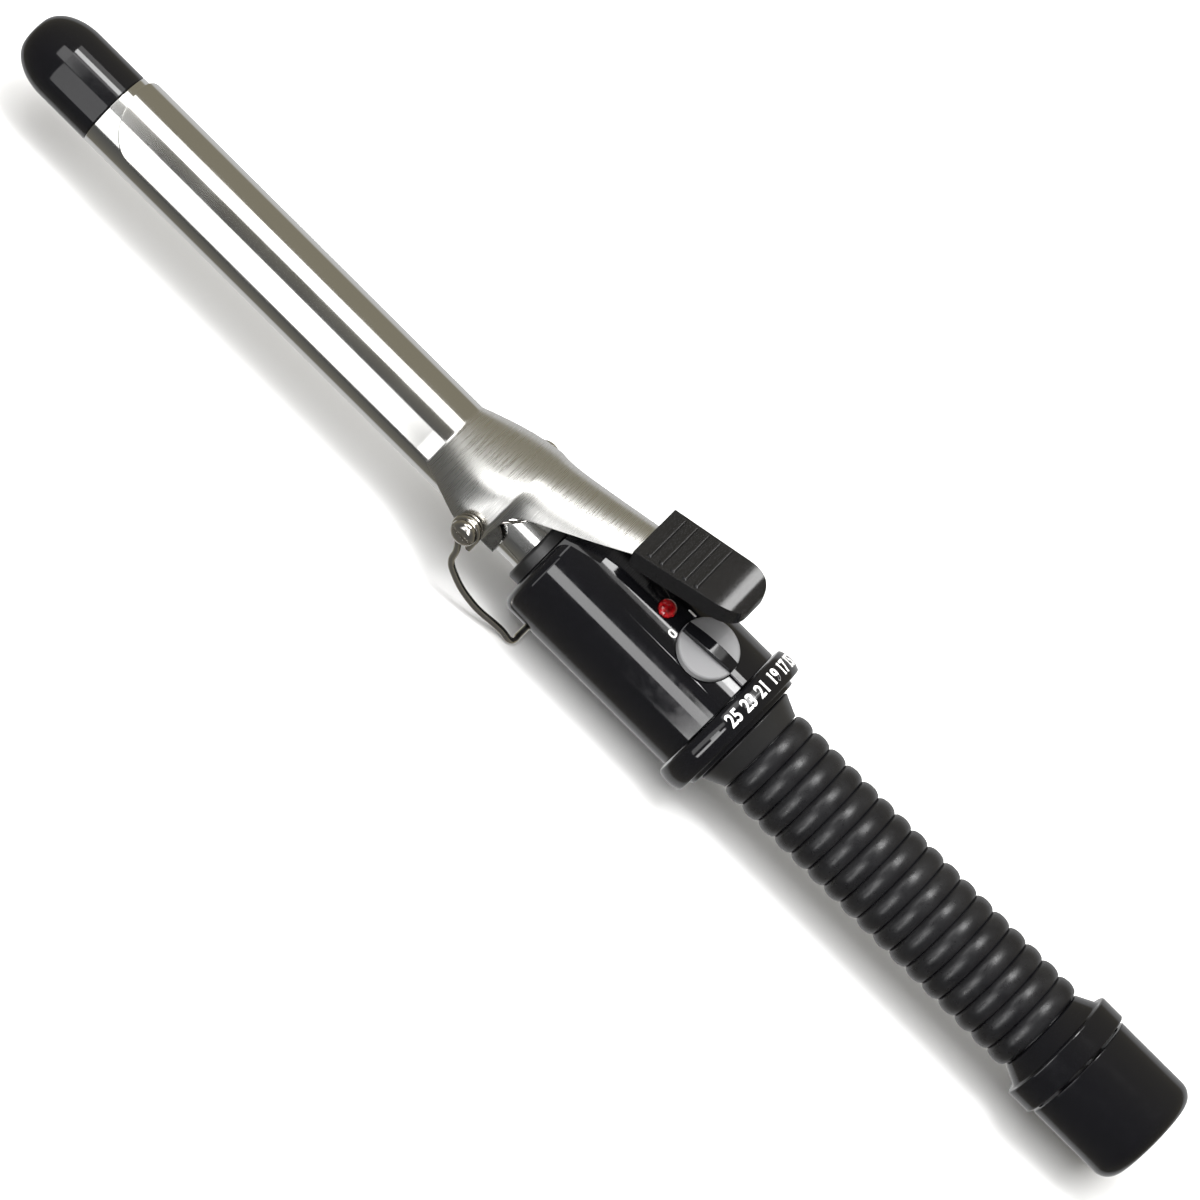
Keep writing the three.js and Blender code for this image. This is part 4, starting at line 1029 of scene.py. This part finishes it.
def make_flange():
    flange_from = flare_from + FLARE_LENGTH
    piece = turned("grip_end_flange", [
        (flare_from, GRIP_BORE),
        (flare_from, FLARE_FRONT),
        (flange_from, FLARE_REAR),
        (flange_from, flange_radius),
        (flange_to, flange_radius),
        (flange_to, CORE_BORE),
        (flange_to - 2 * MM, CORE_BORE),
        (flange_to - 2 * MM, GRIP_BORE),
    ])
    broken_edges(put(piece), 0.5 * MM, segments=4)
    done(piece, gloss_black, "handle", "gloss_black", "end_flange")


def make_cap():
    inner = cap_radius - CAP_WALL
    hole = BUSHING_BORE + BUSHING_WALL + GAP
    corner = quarter_round(
        (cap_to - CAP_CORNER, cap_radius), (cap_to, cap_radius - CAP_CORNER), steps=10, steep="last"
    )
    piece = turned("cord_swivel_cap", [
        (cap_from, inner),
        (cap_from, cap_radius),
        *corner,
        (cap_to, hole),
        (cap_to - CAP_WALL, hole),
        (cap_to - CAP_WALL, inner - 1.5 * MM),
        (cap_to - CAP_WALL - 2.5 * MM, inner),
    ])
    broken_edges(put(piece), 0.25 * MM)
    done(piece, gloss_black, "cord_cap", "gloss_black", "swivel_cap")


def make_bushing():
    outer = BUSHING_BORE + BUSHING_WALL
    seat = cap_to - CAP_WALL - GAP
    piece = turned("cord_inlet_bushing", [
        (bushing_from, BUSHING_BORE),
        (bushing_from, outer),
        (seat - CAP_WALL, outer),
        (seat - CAP_WALL, bushing_flange),
        (seat, bushing_flange),
        (seat, outer),
        (bushing_to, outer),
        (bushing_to, BUSHING_BORE),
    ], sides=64)
    broken_edges(put(piece), 0.25 * MM)
    done(piece, rubber, "cord_cap", "rubber", "cord_bushing")


make_flange()
make_cap()
make_bushing()

# %% [markdown]
# ## The clip
# The clip is one sheet of steel. Its front part is bent round the barrel, and its rear part rises
# away as a lever with a wide arch, with an ear on each side that the pivot goes through. A sheet
# whose section changes all the way is no job for extruding a flat plate, so it starts as a grid:
# one direction runs along the edge of the sheet, as cut, and the other runs over the arch from one
# edge to the other. Each grid point is then set on the section at its place, and a Solidify
# modifier gives the sheet its thickness.

# %% Clip sheet
SHEET = 0.9 * MM
WRAP = radians(84)
CLIP_NOSE = 11.1 * MM
LEVER_RISE = 0.287
LEVER_ARCH = 2 * MM
LEVER_TAIL = 13 * MM
LEVER_NECK = 0.8 * MM  # the lever starts to narrow this far ahead of the ear's rear
LEVER_TAPER = 3 * MM
EAR = 3.7 * MM
EAR_BEHIND = 0.2 * MM
EAR_DIP = 6 * MM
EDGE_RISE = 0.5
EDGE_LEAD = 2.6 * MM
SKIRT = 2.6 * MM
PRESS_BEHIND = 29.8 * MM
TONGUE_SKIRT = 2 * MM
hug_radius = barrel_radius + GAP + SHEET
clip_low, clip_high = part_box("clip")
ear_half = clip_high.y
press_x = pivot.x + PRESS_BEHIND
PIVOT_RISE = pivot.z - AXIS


def lever_top(x):
    return hug_radius + LEVER_RISE * (x - bend_x)


def clip_section(x):
    """Half width, spring line and top of the arch at x, from the iron's centre line."""
    if x <= bend_x:
        return hug_radius, 0, hug_radius
    opening = min(1, (x - bend_x) / LEVER_AHEAD)
    if x < pivot.x:
        width = hug_radius + (ear_half - hug_radius) * sin(opening * pi / 2)
    else:
        past = max(0, x - pivot.x - EAR + LEVER_NECK)
        width = LEVER_TAIL + (ear_half - LEVER_TAIL) * exp(-past / LEVER_TAPER)
    return width, LEVER_ARCH * opening, lever_top(x)


def bezier(start, control, end, steps):
    """Points after start, up to end, of a curve pulled towards control."""
    points = []
    for i in range(1, steps + 1):
        t = i / steps
        pull = ((1 - t) ** 2, 2 * t * (1 - t), t * t)
        points.append(tuple(
            pull[0] * a + pull[1] * b + pull[2] * c for a, b, c in zip(start, control, end)
        ))
    return points


def clip_edge():
    """The cut edge seen from the side, as (x, height over the centre line), from nose to tongue."""
    points = []
    for i in range(25):
        turn = pi / 2 * i / 24
        points.append((clip_low.x + CLIP_NOSE * (1 - cos(turn)), hug_radius * cos(WRAP * sin(turn))))
    low = hug_radius * cos(WRAP)
    for i in range(1, 25):
        points.append((points[24][0] + (bend_x - points[24][0]) * i / 24, low))
    ear = (pivot.x + EAR_BEHIND, PIVOT_RISE)
    turns = [radians(degrees) for degrees in range(-130, 1, 6)]
    lobe = [(ear[0] + EAR * cos(turn), ear[1] + EAR * sin(turn)) for turn in turns]
    points += bezier(points[-1], (bend_x + EAR_DIP, low - 0.2 * MM), lobe[0], 16) + lobe[1:]

    def line(x):
        return lever_top(press_x) - SKIRT - EDGE_RISE * (press_x - x)

    back = ear[0] + EAR
    points += bezier(points[-1], (back, line(back)), (back + EDGE_LEAD, line(back + EDGE_LEAD)), 16)
    run = press_x - back - EDGE_LEAD
    points += [(x, line(x)) for x in (back + EDGE_LEAD + run * i / 24 for i in range(1, 25))]
    tongue = clip_high.x - press_x
    for i in range(1, 11):
        x = press_x + tongue * i / 10
        drop = SKIRT + (TONGUE_SKIRT - SKIRT) * i / 10
        points.append((x, lever_top(x) - drop))
    return points


ARCH_STEPS = 40


def crest_line(edge):
    """Where each column of the grid meets the crest: spread evenly where the edge goes round the ear."""
    first = next(i for i, (x, _) in enumerate(edge) if x >= bend_x - MERGE)
    last = next(i for i, (x, _) in enumerate(edge) if x >= pivot.x + EAR + EDGE_LEAD + 4 * MM)
    run = [0.0]
    for (x0, z0), (x1, z1) in zip(edge[first:last], edge[first + 1 : last + 1]):
        run.append(run[-1] + sqrt((x1 - x0) ** 2 + (z1 - z0) ** 2))
    crest = [x for x, _ in edge]
    for i, length in enumerate(run):
        crest[first + i] = edge[first][0] + (edge[last][0] - edge[first][0]) * length / run[-1]
    return crest


def make_clip():
    edge = clip_edge()
    rest()
    bpy.ops.mesh.primitive_grid_add(x_subdivisions=len(edge) - 1, y_subdivisions=2 * ARCH_STEPS, size=1)
    sheet = bpy.context.object
    sheet.name = "clip_sheet"
    columns = crest_line(edge)
    for vertex in sheet.data.vertices:
        column = round((vertex.co.x + 0.5) * (len(edge) - 1))
        across = vertex.co.y * 2
        share = 1 - abs(across)
        x_edge, z_edge = edge[column]
        x = x_edge + (columns[column] - x_edge) * share
        width, spring, top = clip_section(x_edge)
        rise = top - spring
        if z_edge >= spring:
            start = asin((z_edge - spring) / rise) / (pi / 2)
        else:
            start = (z_edge - spring) / (rise * pi / 2)
        width, spring, top = clip_section(x)
        u = start + (1 - start) * share
        if u < 0:
            y, z = width, spring + u * (top - spring) * pi / 2
        else:
            y, z = width * cos(u * pi / 2), spring + (top - spring) * sin(u * pi / 2)
        vertex.co = (x, y if across > 0 else -y, AXIS + z)
    only(sheet)
    bpy.ops.object.mode_set(mode="EDIT")
    bpy.ops.mesh.select_all(action="SELECT")
    bpy.ops.mesh.remove_doubles(threshold=0.02 * MM)
    bpy.ops.mesh.normals_make_consistent(inside=False)
    rest()
    crown = max(sheet.data.polygons, key=lambda face: face.center.z)
    if crown.normal.z < 0:
        sheet.data.flip_normals()
    modified(sheet, "SOLIDIFY", thickness=SHEET, offset=-1, use_even_offset=True)
    broken_edges(sheet, 0.16 * MM, segments=2, angle=50)
    done(sheet, clip_chrome, "clip_lever", "chrome", "clip", smooth=35)


make_clip()

# %% [markdown]
# ## The thumb press
# The press is a hollow black moulding that is staked to the tongue of the lever. Its top is flat
# with five raised ridges across it, and its rear end is round in plan and falls away in a curve.
# It is drawn from the side with a pen, as one vertex extruded from point to point, filled, and
# given its width. A second drawing from above trims it, and a block cut out from below hollows it.

# %% Thumb press
PRESS_FRONT = 18.7 * MM
PRESS_REAR = 17.5 * MM
PRESS_LENGTH = 28 * MM
PRESS_TOP = 1.35 * MM
PRESS_DEPTH = 4.4 * MM
PRESS_WALL = 1.4 * MM
PRESS_REAR_WALL = 5.2 * MM
PRESS_END = 7.5 * MM
PRESS_LIP = 0.8 * MM
RIDGES = 5
RIDGE_PITCH = 3.1 * MM
RIDGE_WIDTH = 1.5 * MM
RIDGE_HEIGHT = 0.5 * MM
RIDGE_ROOT = 0.4 * MM
RIDGE_CREST = 0.55  # how wide its top is, as a part of its foot
RIDGE_MARGIN = 1.3 * MM
FIRST_RIDGE = 2.6 * MM
lever_slope = atan(LEVER_RISE)


def drawn(name, points, depth, upright):
    """An outline of (x, second) points, filled and given a depth to both sides of its plane."""
    def spot(p):
        return Vector((p[0], -depth / 2, p[1])) if upright else Vector((p[0], p[1], -depth / 2))

    rest()
    bpy.ops.mesh.primitive_plane_add(size=MM, location=spot(points[0]))
    piece = bpy.context.object
    piece.name = name
    bpy.ops.object.transform_apply(location=True, rotation=True, scale=True)
    bpy.ops.object.mode_set(mode="EDIT")
    bpy.ops.mesh.select_all(action="SELECT")
    bpy.ops.mesh.merge(type="CENTER")
    for p, q in zip(points, points[1:]):
        bpy.ops.mesh.extrude_region_move(TRANSFORM_OT_translate={"value": spot(q) - spot(p)})
    bpy.ops.mesh.select_all(action="SELECT")
    bpy.ops.mesh.edge_face_add()
    bpy.ops.mesh.select_all(action="SELECT")
    through = (0, depth, 0) if upright else (0, 0, depth)
    bpy.ops.mesh.extrude_region_move(TRANSFORM_OT_translate={"value": through})
    close_up(piece)
    return piece


def press_side():
    """The press from the side: a flat top, and a rear end that curves down to a rounded lip."""
    low, top, end = PRESS_TOP - PRESS_DEPTH, PRESS_TOP, PRESS_LENGTH
    lip = (end - PRESS_LIP, low)
    heel = bezier(lip, (end, low + PRESS_LIP / 2), (end, low + 2 * PRESS_LIP), 6)
    back = bezier(heel[-1], (end - 0.3 * MM, top - 0.2 * MM), (end - PRESS_END, top), 16)
    return [(0, low), lip, *heel, *back, (0, top)]


def press_plan():
    """The press from above: it narrows a little to the rear, where its corners are round."""
    rear = PRESS_REAR / 2
    near = [(0, -PRESS_FRONT / 2), (PRESS_LENGTH - PRESS_END, -rear)]
    near += bezier(near[-1], (PRESS_LENGTH, -rear), (PRESS_LENGTH, -rear + PRESS_END), 14)
    far = [(x, -y) for x, y in reversed(near)]
    return near + far


def box_at(low, high):
    rest()
    middle = [(a + b) / 2 for a, b in zip(low, high)]
    bpy.ops.mesh.primitive_cube_add(size=1, location=middle)
    block = bpy.context.object
    block.scale = [b - a for a, b in zip(low, high)]
    bpy.ops.object.transform_apply(location=True, rotation=True, scale=True)
    return block


def make_press():
    tall = 40 * MM
    low = PRESS_TOP - PRESS_DEPTH
    body = drawn("thumb_press_moulding", press_side(), tall, upright=True)
    kept(body, drawn("plan", press_plan(), tall, upright=False))
    broken_edges(body, 0.45 * MM, segments=4, angle=50)
    inside = PRESS_REAR / 2 - PRESS_WALL
    rear_wall = PRESS_LENGTH - PRESS_REAR_WALL
    cut(body, box_at((-5 * MM, -inside, low - 5 * MM), (rear_wall, inside, 0.05 * MM)))
    for i in range(RIDGES):
        x = FIRST_RIDGE + i * RIDGE_PITCH
        wide = PRESS_FRONT / 2 - RIDGE_MARGIN
        ridge = box_at((x, -wide, PRESS_TOP - RIDGE_ROOT), (x + RIDGE_WIDTH, wide, PRESS_TOP + RIDGE_HEIGHT))
        for vertex in ridge.data.vertices:
            if vertex.co.z > PRESS_TOP:
                middle = x + RIDGE_WIDTH / 2
                vertex.co.x = middle + (vertex.co.x - middle) * RIDGE_CREST
                vertex.co.y *= 0.97
        broken_edges(ridge, 0.14 * MM, segments=2)
        joined(body, ridge)
    put(body, (0, 0, 0), (0, -lever_slope, 0))
    put(body, (press_x, 0, AXIS + lever_top(press_x)))
    done(body, press_black, "clip_lever", "satin_black", "thumb_press", smooth=35)


make_press()

# %% [markdown]
# ## The pivot hardware
# On each side a screw holds a bush, the clip's ear turns on the bush, and a washer and the stand's
# eye sit outside the ear. All of them are round about the pivot's own axis, which lies across the
# iron, so each is turned about X like everything else and then laid across. The screw's slot is
# one straight cut.

# %% Screws, washers, bushes and the press's washer
SCREW_RADIUS = 1.05 * MM
HEAD_RADIUS = 3.3 * MM
HEAD_HEIGHT = 1.4 * MM
BUSH_RADIUS = 1.8 * MM
SLOT_WIDTH = 0.9 * MM
SLOT_DEPTH = 0.8 * MM
STAKE_RADIUS = 1.55 * MM
STAKE_WASHER = 0.6 * MM


def across(piece, side):
    """Lays a piece that was turned about X across the iron, outwards to one side of the pivot."""
    return put(piece, pivot, (0, 0, side * pi / 2))


def make_screw(side, name):
    low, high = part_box(f"pivot_screw_{name}")
    out = max(abs(low.y), abs(high.y))
    inner = min(abs(low.y), abs(high.y))
    under = out - HEAD_HEIGHT
    turns = [radians(degrees) for degrees in (25, 40, 55, 68, 78)]
    head = [(under + HEAD_HEIGHT * sin(turn), HEAD_RADIUS * sqrt(cos(turn))) for turn in turns]
    screw = turned(f"pivot_screw_{name}_head", [
        (inner, SCREW_RADIUS), (under, SCREW_RADIUS), (under, HEAD_RADIUS), *head,
    ], sides=64, hollow=False)
    slot_floor, clear = out - SLOT_DEPTH, HEAD_RADIUS + MM
    cut(screw, box_at((slot_floor, -clear, -SLOT_WIDTH / 2), (out + MM, clear, SLOT_WIDTH / 2)))
    broken_edges(screw, 0.08 * MM, segments=2, angle=50)
    across(screw, side)
    done(screw, nickel, "handle", "nickel", f"pivot_screw_{name}")


def make_ring(side, node, bore, name):
    low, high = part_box(node)
    inner, outer = sorted((abs(low.y), abs(high.y)))
    radius = (high.x - low.x) / 2
    ring = turned(name, [(inner, radius), (outer, radius), (outer, bore), (inner, bore)], sides=64)
    broken_edges(ring, 0.12 * MM)
    across(ring, side)
    done(ring, nickel, "handle", "nickel", node)


def make_press_washer():
    low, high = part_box("press_washer")
    bore, radius, height = STAKE_RADIUS, (high.y - low.y) / 2, STAKE_WASHER
    ring = turned("press_stake_washer", [(0, radius), (height, radius), (height, bore), (0, bore)], sides=48)
    broken_edges(ring, 0.1 * MM)
    put(ring, (0, 0, -height / 2), (0, -pi / 2, 0))
    put(ring, (0, 0, 0), (0, -lever_slope, 0))
    put(ring, (low + high) / 2)
    done(ring, nickel, "clip_lever", "nickel", "press_washer")


for side, name in ((1, "back"), (-1, "front")):
    make_screw(side, name)
    make_ring(side, f"pivot_washer_{name}", BUSH_RADIUS + GAP, f"ear_washer_{name}")
    make_ring(side, f"pivot_bush_{name}", SCREW_RADIUS + GAP, f"ear_bush_{name}")
make_press_washer()

# %% [markdown]
# ## The bent wires
# The stand and the clip spring are bent from hard wire. Each is a curve through a few points of one
# half, mirrored to the other half, with a round section. The stand has an eye round each bush,
# legs that kick outwards to a knee, and a crossbar that the iron rests on. The spring winds
# round each bush and reaches back to push up under the lever.

# %% Stand and spring
STAND_WIRE = 0.85 * MM
STAND_KNEE = 10.6 * MM
STAND_FOOT = 12.4 * MM
STAND_REACH = 24.4 * MM
STAND_EYE_TURN = 1.25 * pi
SPRING_WIRE = 0.4 * MM
SPRING_TURNS = 1.25
SPRING_PITCH = 0.95 * MM
SPRING_BAR = 6.2 * MM
SPRING_REACH = 10.6 * MM
BRACKET_OUT = 11.73 * MM
stand_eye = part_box("pivot_washer_back")[1].y + GAP + STAND_WIRE
FLOOR_RUN = STAND_WIRE - AXIS  # height of the crossbar's middle, from the centre line


def wired(name, half, radius, smooth_steps=10):
    """A round wire through the points of one half and of its mirror image."""
    rest()
    bpy.ops.curve.primitive_bezier_curve_add()
    curve = bpy.context.object
    curve.name = name
    points = half + [(x, -y, z) for x, y, z in reversed(half)]
    spline = curve.data.splines[0]
    spline.bezier_points.add(len(points) - len(spline.bezier_points))
    for bezier_point, point in zip(spline.bezier_points, points):
        bezier_point.co = point
        bezier_point.handle_left_type = "AUTO"
        bezier_point.handle_right_type = "AUTO"
    curve.data.resolution_u = smooth_steps
    curve.data.bevel_depth = radius
    curve.data.bevel_resolution = 6
    curve.data.use_fill_caps = True
    bpy.ops.object.convert(target="MESH")
    bpy.ops.object.transform_apply(location=True, rotation=True, scale=True)
    close_up(curve)
    return curve


def make_stand():
    eye = BUSH_RADIUS + GAP + STAND_WIRE

    def at(x, y, z):
        return pivot.x + x * MM, y, AXIS + z

    tail_x = pivot.x + eye + 0.1 * MM
    half = [(tail_x, stand_eye, pivot.z - 3.6 * MM), (tail_x, stand_eye, pivot.z - 1.6 * MM)]
    for i in range(11):
        turn = STAND_EYE_TURN * i / 10
        half.append((pivot.x + eye * cos(turn), stand_eye, pivot.z + eye * sin(turn)))
    mid = (stand_eye + STAND_FOOT) / 2
    foot_x = STAND_REACH / MM
    half.append(at(0.2, stand_eye, PIVOT_RISE - eye - 1.3 * MM))
    half.append(at(1.4, stand_eye, -STAND_KNEE / 2))
    half.append(at(2.3, stand_eye, -STAND_KNEE + 1.6 * MM))
    half.append(at(4.3, stand_eye - 0.2 * MM, -STAND_KNEE - 0.6 * MM))
    half.append(at(foot_x / 2, mid + 0.6 * MM, (FLOOR_RUN - STAND_KNEE) / 2 - MM))
    half.append(at(foot_x - 3.4, STAND_FOOT + 0.7 * MM, FLOOR_RUN + 1.3 * MM))
    half.append(at(foot_x - 0.6, STAND_FOOT, FLOOR_RUN + 0.3 * MM))
    half.append(at(foot_x, STAND_FOOT - 1.2 * MM, FLOOR_RUN))
    half.append(at(foot_x, STAND_FOOT - 3 * MM, FLOOR_RUN))
    wire = wired("stand_bail", half, STAND_WIRE)
    done(wire, nickel, "stand", "nickel", "stand_wire", smooth=60)


def under_lever(x, y):
    """Height of the lever's inner face over the centre line."""
    width, spring, top = clip_section(x)
    return spring + (top - SHEET - spring) * sqrt(1 - (y / (width - SHEET)) ** 2)


def make_spring():
    coil = BUSH_RADIUS + GAP + SPRING_WIRE
    near = BRACKET_OUT + GAP / 2 + SPRING_WIRE
    far = near + SPRING_PITCH * SPRING_TURNS
    half = [(pivot.x - coil, far, pivot.z - 4.2 * MM), (pivot.x - coil, far, pivot.z - 2 * MM)]
    steps = 13
    for i in range(steps + 1):
        turn = pi - 2 * pi * SPRING_TURNS * i / steps
        half.append((pivot.x + coil * cos(turn), far + (near - far) * i / steps, pivot.z + coil * sin(turn)))
    bar_x = pivot.x + SPRING_REACH
    bar_z = AXIS + under_lever(bar_x, SPRING_BAR + 2 * SPRING_WIRE) - SPRING_WIRE - GAP
    half.append((pivot.x + 2.6 * MM, near - 0.1 * MM, pivot.z + coil))
    half.append((pivot.x + 4.6 * MM, near - 0.4 * MM, pivot.z + coil + 2.4 * MM))
    half_way = (BRACKET_OUT + SPRING_BAR) / 2
    half.append((pivot.x + 7.6 * MM, half_way + 0.6 * MM, (bar_z + pivot.z) / 2 + 0.7 * MM))
    half.append((bar_x - 0.9 * MM, SPRING_BAR + 1.2 * MM, bar_z - 1.4 * MM))
    half.append((bar_x, SPRING_BAR - 0.4 * MM, bar_z))
    half.append((bar_x, SPRING_BAR - 2 * MM, bar_z))
    wire = wired("clip_return_spring", half, SPRING_WIRE, smooth_steps=6)
    done(wire, nickel, "clip_lever", "nickel", "clip_spring", smooth=60)


make_stand()
make_spring()

# %% [markdown]
# ## Flags
# In a studio, a flag keeps one light off one piece. Two pieces need that here. The brushed lever
# would catch the front lights that are meant for the handle, and lose its single clean highlight.
# And the light that draws a gloss line behind the press's ridges would draw a second one along the
# barrel.

# %% Keep the lights off what they would spoil
def linked_to(light, piece, state):
    """Lets the light fall on this piece only (INCLUDE), or on everything but it (EXCLUDE)."""
    group = bpy.data.collections.new(light.name + "_flag")
    group.objects.link(piece)
    light.light_linking.receiver_collection = group
    group.collection_objects[0].light_linking.link_state = state


for light in (front_housing, front_handle):
    linked_to(light, bpy.data.objects["clip_sheet"], "EXCLUDE")
linked_to(press_light, bpy.data.objects["thumb_press_moulding"], "INCLUDE")
print("flags set")

# %% [markdown]
# ## The pieces made
# The finished iron must fit the box that the frame gave at the start: a surface may be smoother
# than the frame's, but no larger. Each piece's own box is printed as it is made, and this cell
# counts the pieces.

# %% Count the pieces
print(len(made_pieces), "pieces made")
